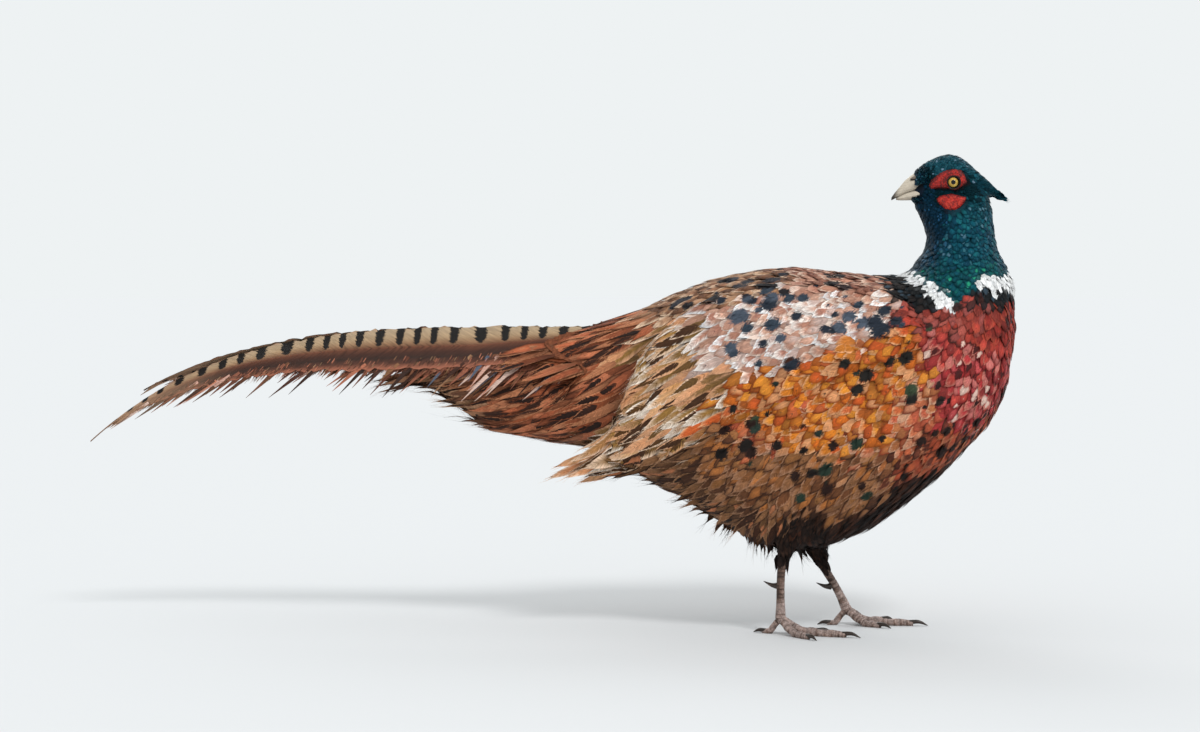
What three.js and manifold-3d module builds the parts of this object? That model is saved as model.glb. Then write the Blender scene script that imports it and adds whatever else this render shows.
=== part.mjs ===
// A cock common pheasant, life size, standing and looking back over its right shoulder.
// Millimetres, +Z up, +X towards the breast, +Y the bird's left. The origin is on the floor, at the
// middle of the bird's box. Each solid is the outside of the plumage, so the outline is the bird's.
import * as THREE from "three";
import { mergeVertices } from "three/addons/utils/BufferGeometryUtils.js";
import Module from "manifold-3d";

const wasm = await Module();
wasm.setup();

// Driving dimensions.
const GAP = 0.3; // clearance between pieces that meet
const REACH = 600; // longer than the bird, for cutting blocks
const BREAST_X = 374.5;
const TAIL_TIP_X = -381;

// Body sections from the breast to the tail coverts: x, top z, bottom z, half width.
const BODY = [
  [BREAST_X, 262, 236, 0],
  [371, 280, 211, 26],
  [357, 289, 175, 45],
  [331, 291, 145, 62],
  [304, 290.5, 118, 71],
  [252, 290, 80, 77],
  [200, 296, 65, 78.5],
  [170, 295, 69, 77],
  [121, 284, 97, 67],
  [68, 262, 127, 50],
  [40, 252, 147, 42],
  [10, 243, 150, 34],
  [-22, 237, 157, 27],
  [-52, 231, 161, 20],
  [-80, 226, 182, 14],
  [-102, 220, 197, 9],
  [-116, 213, 206, 0],
];
const BODY_SQUARENESS = 2.3; // power of the section's curve, where 2 is an ellipse
const RUMP_PARTING = { at: [72, 0, 0], forward: [1, 0, 0] };

// Neck sections, from inside the breast up to inside the head: z, back x, front x, half width.
const NECK = [
  [236, 262, 372, 30],
  [262, 262, 373.5, 50],
  [278, 270, 373.5, 46],
  [288, 278, 371.5, 40],
  [298, 291, 365.5, 33],
  [311, 300, 358.5, 27.5],
  [325, 301, 356, 23.5],
  [338, 295, 355, 19.5],
  [350, 291, 354, 15.5],
  [357, 298, 346, 6],
];
const NECK_PARTING = { at: [272, 0, 292], up: [0.19, 0, 1] };
const HEAD_PARTING = { at: [296, 0, 336], up: [-0.24, 0, 1] };

// The head's own frame has X ahead, Y to its left and Z up, from a point between the eyes.
const HEAD_MIDDLE = [321, 0, 366];
const HEAD_YAW_DEG = 186; // it looks back along the body, a little to the bird's right

// Head sections from the forehead to the nape: distance ahead, top, bottom, half width.
const HEAD = [
  [33, 2, -16, 0],
  [30.5, 7.4, -21, 4],
  [25, 12.6, -27, 7.2],
  [18, 17, -32, 9.8],
  [11, 20.2, -36, 12.4],
  [2, 22, -38, 14.8],
  [-7, 20, -38, 16.2],
  [-16, 13, -37, 15.8],
  [-25, 3, -34, 12.4],
  [-32, -9, -21, 0],
];
const HEAD_SQUARENESS = 2.1;

// Bill sections: distance ahead, top, bottom, half width.
const UPPER_BILL = [
  [15, 9, -4.4, 3],
  [20, 9, -4.9, 6.6],
  [29, 8.4, -6.4, 5.6],
  [36.5, 2.3, -8.6, 4.1],
  [41.5, -3.8, -10.9, 2.9],
  [45.5, -8.8, -13.2, 1.7],
  [48.3, -13, -15.4, 0],
];
const LOWER_BILL = [
  [15, -5.2, -12, 3],
  [20, -5.6, -13.4, 5.8],
  [29, -7.1, -15.4, 4.6],
  [36.5, -9.3, -15.8, 3.1],
  [41.5, -11.7, -15.8, 1.8],
  [44.5, -13.6, -15.4, 0],
];

const EYE_RADIUS = 5.2;
const EYE_MIDDLE = [0, 11.6, -1.5]; // of the left eye

// The bare red face: its middle, half length and half height, and how proud of the head it stands.
const FACE = { middle: [4.6, -7.6], half: [16.2, 17.8], proud: 1.4, lobes: 3, lobeShare: 0.07 };

// The left ear tuft along its middle: x, y, z, radius.
const EAR_TUFT = [
  [-8, 9, 9, 3.4],
  [-17, 10.4, 3.6, 5.8],
  [-26, 9.6, -3.4, 4.8],
  [-35, 7.8, -9.4, 3],
  [-44.5, 5.6, -15.2, 0.5],
];

// The surface that the folded wings' outsides lie in: x, top z, bottom z, half width.
const WING_SURFACE = [
  [334, 294, 136, 62],
  [304, 295, 111, 75.5],
  [252, 295, 75, 82.5],
  [200, 301, 60, 83.5],
  [170, 301, 64, 82],
  [121, 291, 84, 73.5],
  [90, 281, 92, 66],
  [60, 268, 96, 58.5],
  [30, 256, 100, 51],
  [0, 245, 106, 44],
];
const WING_THICKNESS = 7;

// Outline of the folded wing from the side, in x and z, as curves with two guides each.
const WING_WRIST = [293, 258];
const WING_CURVES = [
  [282, 282, 240, 285, 190, 285],
  [140, 284, 108, 264, 84, 238],
  [66, 214, 51, 176, 48, 141],
  [64, 128, 86, 134, 104, 148],
  [150, 182, 230, 212, 288, 232],
  [299, 238, 299, 250, ...WING_WRIST],
];
const WING_PARTING = { at: [138, 0, 230], forward: [1, 0, -0.3] };

// Tail: the ridge where the left and right feathers meet runs level and then curves down.
const TAIL_ROOT = [40, 248];
const TAIL_CURVE = 4; // power of the curve
const TAIL_SLOPE_DEG = 48; // how steeply the feathers slope down from the ridge, like a roof
const BLADE_THICKNESS = 0.8;
const BLADE_ARCH = 1.2;
const BLADE_STEP_IN = 1.5; // distance between one pair and the next pair inside it
const BLADE_STEP_OUT = 2.6; // distance that the next pair lies further down the slope
const RIGHT_DROP = 88; // fall from the root to the tip
const LEFT_DROP = 76;
const LEFT_TIP_AHEAD = 44; // the left middle feather is the shorter one
const TAIL_PAIRS = [
  { name: "tail_centre", ahead: 0, width: 43, rows: 13 },
  { name: "tail_second", ahead: 92, width: 42, rows: 11 },
  { name: "tail_third", ahead: 158, width: 40, rows: 9 },
  { name: "tail_fourth", ahead: 210, width: 38, rows: 8 },
  { name: "tail_fifth", ahead: 252, width: 35, rows: 7 },
  { name: "tail_outer", ahead: 288, width: 32, rows: 6 },
];

// Legs: the feathered thigh and the bare shank along their middles, as x, y, z, radius, and the
// direction of the middle toe.
const LEGS = [
  {
    side: "right",
    thigh: [
      [212, -40, 128, 27],
      [200, -36, 98, 18],
      [190, -32, 74, 9],
      [187, -31, 60, 5],
    ],
    shank: [
      [187, -31, 64, 3.5],
      [185, -31, 42, 3.4],
      [185, -31, 15, 4],
    ],
    toeYawDeg: -16,
  },
  {
    side: "left",
    thigh: [
      [222, 40, 125, 27],
      [212, 36, 96, 19],
      [211, 32, 68, 11],
      [219, 31, 48, 4.6],
    ],
    shank: [
      [217, 31, 52, 3.5],
      [227, 31, 35, 3.4],
      [238, 31, 15, 4],
    ],
    toeYawDeg: -2,
  },
];
// Toes: turn from the middle toe towards the other foot, length and radius, and the claw's length.
const TOES = [
  { name: "middle", turnDeg: 0, length: 54, radius: 3.3, claw: 13 },
  { name: "inner", turnDeg: 30, length: 32, radius: 3, claw: 11 },
  { name: "outer", turnDeg: -36, length: 37, radius: 3, claw: 11 },
  { name: "hind", turnDeg: 172, length: 15, radius: 2.4, claw: 9 },
];
const HUB_HEIGHT = 13; // of the toes' roots over the floor
const PAD_DEPTH = 0.5; // how far each toe would reach below the floor, which cuts its flat
const CLAW_FLAT = 0.15;
const SPUR = { length: 12, radius: 3 }; // on the back of the shank, at its middle

// Finishes.
const CRIMSON = { color: 0x8f3a30, roughness: 0.6, metalness: 0 };
const RUST = { color: 0x7b462e, roughness: 0.7, metalness: 0 };
const OLIVE_BUFF = { color: 0x92714f, roughness: 0.7, metalness: 0 };
const GREY_PINK = { color: 0xa37d6d, roughness: 0.7, metalness: 0 };
const TEAL = { color: 0x123d49, roughness: 0.35, metalness: 0 };
const DARK_BROWN = { color: 0x341e15, roughness: 0.8, metalness: 0 };
const WATTLE_RED = { color: 0xa32020, roughness: 0.5, metalness: 0 };
const HORN = { color: 0xc5b8a9, roughness: 0.4, metalness: 0 };
const DARK_HORN = { color: 0x2a211c, roughness: 0.4, metalness: 0 };
const AMBER = { color: 0xc08a2c, roughness: 0.1, metalness: 0 };
const LEG_GREY = { color: 0x8d7970, roughness: 0.6, metalness: 0 };

// Value of a smooth curve through stations, read by their first number.
function along(stations, column, at) {
  const way = Math.sign(stations[stations.length - 1][0] - stations[0][0]);
  let i = 0;
  while (i < stations.length - 2 && (at - stations[i + 1][0]) * way > 0) i += 1;
  const [from, to] = [stations[i], stations[i + 1]];
  const span = to[0] - from[0];
  const t = THREE.MathUtils.clamp((at - from[0]) / span, 0, 1);
  const slope = (a = from, b = to) => ((b[column] - a[column]) / (b[0] - a[0])) * span;
  const rise = to[column] - from[column];
  const [m, n] = [slope(stations[i - 1], to), slope(from, stations[i + 2])];
  return from[column] + m * t + (3 * rise - 2 * m - n) * t ** 2 + (m + n - 2 * rise) * t ** 3;
}

// A closed surface: a sphere whose points are moved to place(t, angle), with t from pole to pole.
function swept(around, rows, place) {
  const geometry = new THREE.SphereGeometry(1, around, rows);
  const position = geometry.getAttribute("position");
  const uv = geometry.getAttribute("uv");
  for (let i = 0; i < position.count; i += 1) {
    const row = Math.round((1 - uv.getY(i)) * rows);
    const column = Math.floor(uv.getX(i) * around + 0.25) % around;
    position.setXYZ(i, ...place(row / rows, (column / around) * 2 * Math.PI));
  }
  return geometry;
}

// A cosine or sine flattened towards a square by its power.
function squared(value, power) {
  return Math.sign(value) * Math.abs(value) ** (2 / power);
}

// A loft whose sections stand across X, from [x, top, bottom, half width] stations. Its sections
// lie closer together at its two ends, and grow makes it larger all round.
function loft(stations, around, rows, power, grow = 0) {
  const [first, last] = [stations[0][0], stations[stations.length - 1][0]];
  const lengthwise = Math.sign(first - last) * grow;
  return swept(around, rows, (t, angle) => {
    const even = THREE.MathUtils.lerp(t, (1 - Math.cos(Math.PI * t)) / 2, 0.7);
    const x = THREE.MathUtils.lerp(first, last, even);
    const [top, bottom] = [along(stations, 1, x), along(stations, 2, x)];
    if (t === 0 || t === 1) return [x + (1 - 2 * t) * lengthwise, 0, (top + bottom) / 2];
    const half = Math.max(along(stations, 3, x), 0.4) + grow;
    const tall = Math.max((top - bottom) / 2, 0.4) + grow;
    const y = -half * squared(Math.sin(angle), power);
    return [x, y, (top + bottom) / 2 + tall * squared(Math.cos(angle), power)];
  });
}

// The neck, whose sections lie level.
function neckLoft(grow = 0) {
  const [first, last] = [NECK[0][0], NECK[NECK.length - 1][0]];
  return swept(18, 10, (t, angle) => {
    const z = THREE.MathUtils.lerp(first, last, t);
    const [back, front] = [along(NECK, 1, z), along(NECK, 2, z)];
    const size = t === 0 || t === 1 ? 0 : 1;
    const long = size * ((front - back) / 2 + grow);
    const half = size * (along(NECK, 3, z) + grow);
    return [(back + front) / 2 - long * Math.cos(angle), -half * Math.sin(angle), z];
  });
}

// A round bar with rounded ends along points that are [x, y, z, radius] each.
function bar(points, grow = 0, around = 8, rowsEach = 2) {
  const curve = new THREE.CatmullRomCurve3(points.map(([x, y, z]) => new THREE.Vector3(x, y, z)));
  const radii = points.map((point, i) => [i, point[3]]);
  const last = points.length - 1;
  const rows = last * rowsEach + 2;
  const whole = curve.getPoint(1).sub(curve.getPoint(0)).normalize();
  const across = Math.abs(whole.z) > 0.7 ? new THREE.Vector3(1, 0, 0) : new THREE.Vector3(0, 0, 1);
  return swept(around, rows, (t, angle) => {
    const u = THREE.MathUtils.clamp((t * rows - 1) / (rows - 2), 0, 1);
    const r = along(radii, 1, u * last) + grow;
    const ahead = curve.getTangent(u);
    const middle = curve.getPoint(u);
    if (t === 0 || t === 1) return middle.addScaledVector(ahead, (t - 0.5) * r).toArray();
    const side = across.clone().cross(ahead).normalize();
    const up = ahead.clone().cross(side);
    middle.addScaledVector(side, r * Math.cos(angle)).addScaledVector(up, r * Math.sin(angle));
    return middle.toArray();
  });
}

// A thin closed blade: a box whose points are moved to place(t, across, face), with t from 0 at
// the root to 1 at the tip, across from -1 to 1, and face -1 or 1.
function blade(rows, place) {
  const geometry = new THREE.BoxGeometry(1, 2, 2, rows, 2, 1);
  const position = geometry.getAttribute("position");
  for (let i = 0; i < position.count; i += 1) {
    const [t, across, face] = [position.getX(i) + 0.5, position.getY(i), position.getZ(i)];
    position.setXYZ(i, ...place(t, across, face));
  }
  return geometry;
}

// Places a shape made in the head's own frame.
function onHead(geometry) {
  return geometry.rotateZ(THREE.MathUtils.degToRad(HEAD_YAW_DEG)).translate(...HEAD_MIDDLE);
}

// A closed mesh as a solid to join and cut, turned to face outwards.
function solid(geometry) {
  const bare = geometry.clone();
  bare.deleteAttribute("normal");
  bare.deleteAttribute("uv");
  const merged = mergeVertices(bare, 1e-3);
  const vertProperties = merged.getAttribute("position").array;
  const triVerts = new Uint32Array(merged.index.array);
  const made = new wasm.Manifold(new wasm.Mesh({ numProp: 3, vertProperties, triVerts }));
  if (made.volume() > 0) return made;
  triVerts.reverse();
  return new wasm.Manifold(new wasm.Mesh({ numProp: 3, vertProperties, triVerts }));
}

// The largest body of a cut solid.
function largest(cut) {
  return cut.decompose().sort((a, b) => b.volume() - a.volume())[0];
}

// A block that fills all the space beyond a plane, but for half the gap.
function beyond(point, direction, clear = GAP / 2) {
  const toward = new THREE.Vector3(...direction).normalize();
  const turn = new THREE.Quaternion().setFromUnitVectors(new THREE.Vector3(0, 0, 1), toward);
  const box = new THREE.BoxGeometry(2 * REACH, 2 * REACH, 2 * REACH);
  return solid(box.translate(0, 0, REACH + clear).applyQuaternion(turn).translate(...point));
}

// The direction opposite to one given.
function opposite(direction) {
  return direction.map((value) => -value);
}

// The point or bar mirrored to the bird's right when side is -1.
function sided(points, side) {
  return points.map(([x, y, ...rest]) => [x, side * y, ...rest]);
}

const pheasant = new THREE.Group();

// Adds a solid to the bird as a named mesh of its own material.
function add(name, made, finish) {
  const { numProp, numVert, triVerts, vertProperties } = largest(made).getMesh();
  const points = new Float32Array(numVert * 3);
  for (let i = 0; i < numVert; i += 1)
    points.set(vertProperties.subarray(i * numProp, i * numProp + 3), i * 3);
  const geometry = new THREE.BufferGeometry();
  geometry.setAttribute("position", new THREE.BufferAttribute(points, 3));
  geometry.setIndex(new THREE.BufferAttribute(triVerts, 1));
  geometry.computeVertexNormals();
  const piece = new THREE.Mesh(geometry, new THREE.MeshStandardMaterial(finish));
  piece.name = name;
  pheasant.add(piece);
}

// Folded wings: a shell in the wing surface, cut to the wing's outline from the side.
function wingShell(grow) {
  const outline = new THREE.Shape().moveTo(...WING_WRIST);
  WING_CURVES.forEach((curve) => outline.bezierCurveTo(...curve));
  const prism = new THREE.ExtrudeGeometry(outline, {
    depth: REACH,
    curveSegments: 5,
    bevelEnabled: grow > 0,
    bevelThickness: grow,
    bevelSize: grow,
    bevelSegments: 1,
  });
  const outside = loft(WING_SURFACE, 28, 12, BODY_SQUARENESS, 20 * grow);
  const inside = loft(WING_SURFACE, 28, 12, BODY_SQUARENESS, -WING_THICKNESS - grow);
  return solid(prism.rotateX(Math.PI / 2)).intersect(solid(outside)).subtract(solid(inside));
}

// One tail feather of a pair, or the space that the whole side of the tail takes in the rump.
function tailBlade({ side, rows, tipX, width, depth, start, thickness, arch }) {
  const drop = side < 0 ? RIGHT_DROP : LEFT_DROP;
  const slope = THREE.MathUtils.degToRad(TAIL_SLOPE_DEG);
  return blade(rows, (t, across, face) => {
    const x = THREE.MathUtils.lerp(TAIL_ROOT[0], tipX, t);
    const ridge = TAIL_ROOT[1] - drop * ((TAIL_ROOT[0] - x) / (TAIL_ROOT[0] - TAIL_TIP_X)) ** TAIL_CURVE;
    const broad = Math.max(Math.min(0.45 + 2.2 * t, 1) - Math.max((t - 0.36) / 0.64, 0) ** 1.7, 0.03);
    const out = start + ((across + 1) / 2) * width * broad;
    const lift = (face * thickness) / 2 - depth + arch * (1 - across ** 2) * broad;
    return [
      x,
      side * (out * Math.cos(slope) + lift * Math.sin(slope)),
      ridge - out * Math.sin(slope) + lift * Math.cos(slope),
    ];
  });
}

// Head, neck and body are one form that is parted by thin cuts.
const head = solid(onHead(loft(HEAD, 18, 12, HEAD_SQUARENESS)));
const headSpace = solid(onHead(loft(HEAD, 18, 12, HEAD_SQUARENESS, GAP)));
const neckSpace = solid(neckLoft(GAP));
const eyeBall = (side, grow) => {
  const [x, y, z] = EYE_MIDDLE;
  return solid(onHead(new THREE.SphereGeometry(EYE_RADIUS + grow, 10, 7).translate(x, side * y, z)));
};
const wholeBird = solid(loft(BODY, 28, 20, BODY_SQUARENESS)).add(solid(neckLoft())).add(head);

const SIDES = [
  { side: 1, name: "left" },
  { side: -1, name: "right" },
];

let headPart = wholeBird.intersect(beyond(HEAD_PARTING.at, HEAD_PARTING.up));
for (const { side, name } of SIDES) {
  add(`eye_${name}`, eyeBall(side, 0), AMBER);
  headPart = headPart.subtract(eyeBall(side, GAP));
}
add("head", headPart, TEAL);

const neckPart = wholeBird
  .intersect(beyond(HEAD_PARTING.at, opposite(HEAD_PARTING.up)))
  .intersect(beyond(NECK_PARTING.at, NECK_PARTING.up));
add("neck", neckPart, TEAL);

// Red face patches, proud of the head round each eye.
const faceOutline = new THREE.Shape(
  Array.from({ length: 16 }, (_, i) => {
    const angle = (i / 16) * 2 * Math.PI;
    const reach = 1 + FACE.lobeShare * Math.cos(FACE.lobes * angle);
    return new THREE.Vector2(
      FACE.middle[0] + FACE.half[0] * reach * Math.cos(angle),
      FACE.middle[1] + FACE.half[1] * reach * Math.sin(angle),
    );
  }),
);
const billSpaces = [UPPER_BILL, LOWER_BILL].map((bill) => solid(onHead(loft(bill, 12, 8, 2, GAP))));
const headProud = solid(onHead(loft(HEAD, 18, 12, HEAD_SQUARENESS, FACE.proud)));
for (const { side, name } of SIDES) {
  const prism = new THREE.ExtrudeGeometry(faceOutline, { depth: 30, bevelEnabled: false });
  prism.rotateX(Math.PI / 2).translate(0, side > 0 ? 32 : -2, 0);
  const patch = billSpaces.reduce(
    (left, bill) => left.subtract(bill),
    solid(onHead(prism)).intersect(headProud).subtract(headSpace).subtract(neckSpace),
  );
  add(`wattle_${name}`, patch.subtract(eyeBall(side, GAP)), WATTLE_RED);
  const tuft = solid(onHead(bar(sided(EAR_TUFT, side), 0, 8, 1)));
  add(`ear_tuft_${name}`, tuft.subtract(headSpace).subtract(neckSpace), TEAL);
}

add("bill_upper", solid(onHead(loft(UPPER_BILL, 12, 8, 2))).subtract(headSpace), HORN);
const lowerBill = solid(onHead(loft(LOWER_BILL, 12, 8, 2)));
add("bill_lower", lowerBill.subtract(headSpace).subtract(billSpaces[0]), HORN);

// Trunk and rump, with room for the wings, the thighs and the tail feathers' roots.
const body = wholeBird.intersect(beyond(NECK_PARTING.at, opposite(NECK_PARTING.up)));
const bothSides = (made) => made.add(made.mirror([0, 1, 0]));
const roomForWings = bothSides(wingShell(GAP));
const roomForThighs = LEGS.map(({ thigh }) => solid(bar(thigh, GAP, 10, 2)));
const trunkPart = roomForThighs.reduce(
  (left, thigh) => left.subtract(thigh),
  body.intersect(beyond(RUMP_PARTING.at, RUMP_PARTING.forward)).subtract(roomForWings),
);
add("trunk", trunkPart, CRIMSON);

const tailRoomDepth = BLADE_STEP_IN * (TAIL_PAIRS.length - 1);
const roomForTail = SIDES.map(({ side }) =>
  solid(
    tailBlade({
      side,
      rows: 12,
      tipX: TAIL_TIP_X,
      width: REACH / 6,
      depth: tailRoomDepth / 2,
      start: -0.5,
      thickness: tailRoomDepth + 2 * BLADE_ARCH + 2 * BLADE_THICKNESS,
      arch: 0,
    }),
  ),
);
const rumpPart = body
  .intersect(beyond(RUMP_PARTING.at, opposite(RUMP_PARTING.forward)))
  .subtract(roomForWings)
  .subtract(roomForTail[0])
  .subtract(roomForTail[1]);
add("rump", rumpPart, RUST);

for (const { side, name } of SIDES) {
  const shell = side < 0 ? wingShell(0) : wingShell(0).mirror([0, 1, 0]);
  const { at, forward } = WING_PARTING;
  add(`wing_${name}`, shell.intersect(beyond(at, forward)), GREY_PINK);
  add(`flight_feathers_${name}`, shell.intersect(beyond(at, opposite(forward))), OLIVE_BUFF);
  TAIL_PAIRS.forEach((pair, i) => {
    const short = side > 0 && i === 0 ? LEFT_TIP_AHEAD : 0;
    const feather = tailBlade({
      side,
      rows: pair.rows,
      tipX: TAIL_TIP_X + pair.ahead + short,
      width: pair.width,
      depth: i * BLADE_STEP_IN,
      start: 1 + i * BLADE_STEP_OUT,
      thickness: BLADE_THICKNESS,
      arch: BLADE_ARCH,
    });
    add(`${pair.name}_${name}`, solid(feather), OLIVE_BUFF);
  });
}

// Legs, with the toes' undersides cut flat by the floor.
const aboveFloor = beyond([0, 0, 0], [0, 0, 1], 0);
LEGS.forEach((leg, i) => {
  const inward = leg.side === "right" ? 1 : -1;
  const thigh = solid(bar(leg.thigh, 0, 10, 2));
  const shank = solid(bar(leg.shank, 0, 10, 2));
  const shankSpace = solid(bar(leg.shank, GAP, 10, 2));
  add(`thigh_${leg.side}`, thigh.subtract(shankSpace).subtract(roomForWings), DARK_BROWN);
  add(`shank_${leg.side}`, shank, LEG_GREY);

  const [footX, footY] = leg.shank[2];
  let taken = shankSpace;
  for (const toe of TOES) {
    const yaw = THREE.MathUtils.degToRad(leg.toeYawDeg + inward * toe.turnDeg);
    const place = (reach, z, r) => [footX + reach * Math.cos(yaw), footY + reach * Math.sin(yaw), z, r];
    const lying = toe.radius - PAD_DEPTH;
    const points = [
      place(1, HUB_HEIGHT, toe.radius),
      place(Math.min(12, toe.length / 2), lying + 4.5, toe.radius),
      place(toe.length * 0.6, lying, toe.radius),
      place(toe.length, lying - 0.3, toe.radius - 0.3),
    ];
    const claw = [
      place(toe.length - 1, lying, 1.9),
      place(toe.length + toe.claw * 0.45, lying + 0.4, 1.6),
      place(toe.length + toe.claw, 0.6 - CLAW_FLAT, 0.6),
    ];
    const made = solid(bar(points, 0, 6, 2));
    const space = solid(bar(points, GAP, 6, 2));
    add(`toe_${toe.name}_${leg.side}`, made.subtract(taken).intersect(aboveFloor), LEG_GREY);
    add(`claw_${toe.name}_${leg.side}`, solid(bar(claw, 0, 5, 1)).subtract(space).intersect(aboveFloor), DARK_HORN);
    taken = taken.add(space);
  }

  const [spurX, spurY, spurZ] = leg.shank[1];
  const spur = [
    [spurX - 2, spurY + inward * 1.5, spurZ - 3, SPUR.radius],
    [spurX - 7, spurY + inward * 3.5, spurZ - 2.5, SPUR.radius * 0.6],
    [spurX - 2 - SPUR.length, spurY + inward * 5, spurZ + 0.5, 0.6],
  ];
  add(`spur_${leg.side}`, solid(bar(spur, 0, 6, 1)).subtract(shankSpace), DARK_HORN);
});

export default pheasant;
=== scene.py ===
import math

import bmesh
import bpy
import numpy as np
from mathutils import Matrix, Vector
from mathutils.bvhtree import BVHTree
from mathutils.kdtree import KDTree


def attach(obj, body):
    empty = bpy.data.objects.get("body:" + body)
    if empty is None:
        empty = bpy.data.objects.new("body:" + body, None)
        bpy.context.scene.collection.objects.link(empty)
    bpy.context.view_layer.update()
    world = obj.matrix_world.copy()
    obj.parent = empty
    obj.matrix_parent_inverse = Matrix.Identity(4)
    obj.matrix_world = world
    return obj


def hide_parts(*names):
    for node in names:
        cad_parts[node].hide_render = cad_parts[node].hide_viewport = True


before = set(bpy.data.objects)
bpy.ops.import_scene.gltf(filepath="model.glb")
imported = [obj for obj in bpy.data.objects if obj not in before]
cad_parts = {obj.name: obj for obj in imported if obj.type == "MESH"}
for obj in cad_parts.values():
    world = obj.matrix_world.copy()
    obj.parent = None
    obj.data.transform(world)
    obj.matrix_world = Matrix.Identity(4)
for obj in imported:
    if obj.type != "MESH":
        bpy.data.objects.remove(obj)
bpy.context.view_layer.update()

MM = 0.001
chance = np.random.default_rng(41)

# Skin
FLESH = ("trunk", "rump", "neck", "head", "wing_left", "wing_right", "thigh_left", "thigh_right")
TUFTS = ("ear_tuft_left", "ear_tuft_right")
FLIGHT = ("flight_feathers_left", "flight_feathers_right")
JOIN = 0.45  # how far each solid grows before they are joined, which closes the cuts between them
VOXEL = 2.0
SKIN_SMOOTHING = 10

# The head's own frame has X ahead, Y to its left and Z up
HEAD_MIDDLE = np.array((321.0, 0.0, 366.0))
HEAD_YAW = math.radians(186)
HEAD_SECTIONS = np.array(
    [  # distance ahead, top, bottom, half width
        (33, 2, -16, 0.5),
        (30.5, 7.4, -21, 4),
        (25, 12.6, -27, 7.2),
        (18, 17, -32, 9.8),
        (11, 20.2, -36, 12.4),
        (2, 22, -38, 14.8),
        (-7, 20, -38, 16.2),
        (-16, 13, -37, 15.8),
        (-25, 3, -34, 12.4),
        (-32, -9, -21, 0.5),
    ]
)
HEAD_SQUARENESS = 2.1
EYE_RADIUS = 5.2
EYE_MIDDLE = np.array((0.0, 11.6, -1.5))
EYE_FLAT = EYE_MIDDLE[[0, 2]]  # seen from the side
FACE_MIDDLE = np.array((4.6, -8.6))
FACE_HALF = np.array((16.2, 20.5))
FACE_LOBES = 0.07

# The red parts of the bare face, as distance ahead and height; small dark feathers grow between them
UPPER_LOBE = (
    (20, -4.2), (17.5, 0.8), (13, 4.8), (7, 8.2), (0, 9.7), (-6.5, 8.6), (-9.2, 5.2), (-10.4, 1.8),
    (-12.8, -1.4), (-8.6, -3.9), (-4.6, -6.2), (0, -7.2), (5, -6.4), (12.2, -6.3), (17.8, -7.4),
)
LOWER_LOBE = (
    (14, -14.6), (11, -12), (6, -10.8), (2, -10.2), (-2.5, -11), (-7, -12.2), (-11.2, -13.2),
    (-9.4, -17.5), (-5.5, -22), (-1, -25), (3, -26), (7.5, -24), (11.8, -19.2),
)

# White ring round the neck, open on the side of the breast: points of its two parts on one side
COLLAR = (
    ((284, 0, 296), (290, 24, 296), (303, 40, 287), (322, 50, 272)),
    ((344, 36, 292), (360, 24, 291), (371, 0, 287)),
)
COLLAR_HALF = 5.5
COLLAR_PULL = 14  # how sharply the ring's edge is drawn
COLLAR_LIMIT = 20  # how weak its score may get before the ring ends

# How the plumage lies: places and the directions that feathers point there, on one side
LIE_OF_BODY = (
    ((374, 0, 255), (0.1, 0.0, -1.0)),
    ((340, 60, 235), (-0.5, 0.1, -0.85)),
    ((328, 45, 272), (-0.4, 0.35, -0.85)),
    ((350, 30, 180), (-0.7, 0.1, -0.7)),
    ((300, 20, 110), (-0.95, 0.0, -0.3)),
    ((240, 0, 72), (-1.0, 0.0, -0.2)),
    ((280, 76, 190), (-0.78, 0.05, -0.62)),
    ((220, 84, 170), (-0.82, 0.05, -0.57)),
    ((220, 74, 110), (-0.75, 0.0, -0.66)),
    ((150, 70, 110), (-0.83, 0.0, -0.55)),
    ((90, 45, 112), (-0.9, 0.0, -0.42)),
    ((60, 0, 128), (-0.95, 0.0, -0.2)),
    ((284, 0, 291), (-1.0, 0.0, -0.1)),
    ((230, 20, 296), (-1.0, 0.0, 0.0)),
    ((130, 20, 290), (-0.97, 0.0, -0.2)),
    ((50, 10, 255), (-0.97, 0.0, -0.2)),
    ((30, 38, 205), (-0.93, 0.0, -0.38)),
    ((-60, 10, 205), (-0.98, 0.0, -0.2)),
    ((290, 72, 255), (-0.93, 0.0, -0.36)),
    ((230, 82, 250), (-0.93, 0.0, -0.36)),
    ((170, 82, 235), (-0.9, 0.0, -0.44)),
    ((90, 62, 200), (-0.87, 0.0, -0.5)),
    ((206, 46, 108), (-0.3, 0.0, -0.95)),
    ((190, 32, 72), (-0.1, 0.0, -1.0)),
    ((214, 34, 66), (0.45, 0.0, -0.9)),
    ((218, 31, 54), (0.5, 0.0, -0.87)),
    ((357, 0, 318), (0.2, 0.0, -1.0)),
    ((300, 0, 320), (-0.3, 0.0, -1.0)),
    ((328, 24, 318), (0.0, 0.15, -1.0)),
    ((288, 0, 299), (-0.8, 0.0, -0.6)),
    ((318, 42, 290), (-0.15, 0.5, -0.85)),
    ((350, 34, 286), (0.2, 0.4, -0.9)),
)
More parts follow.
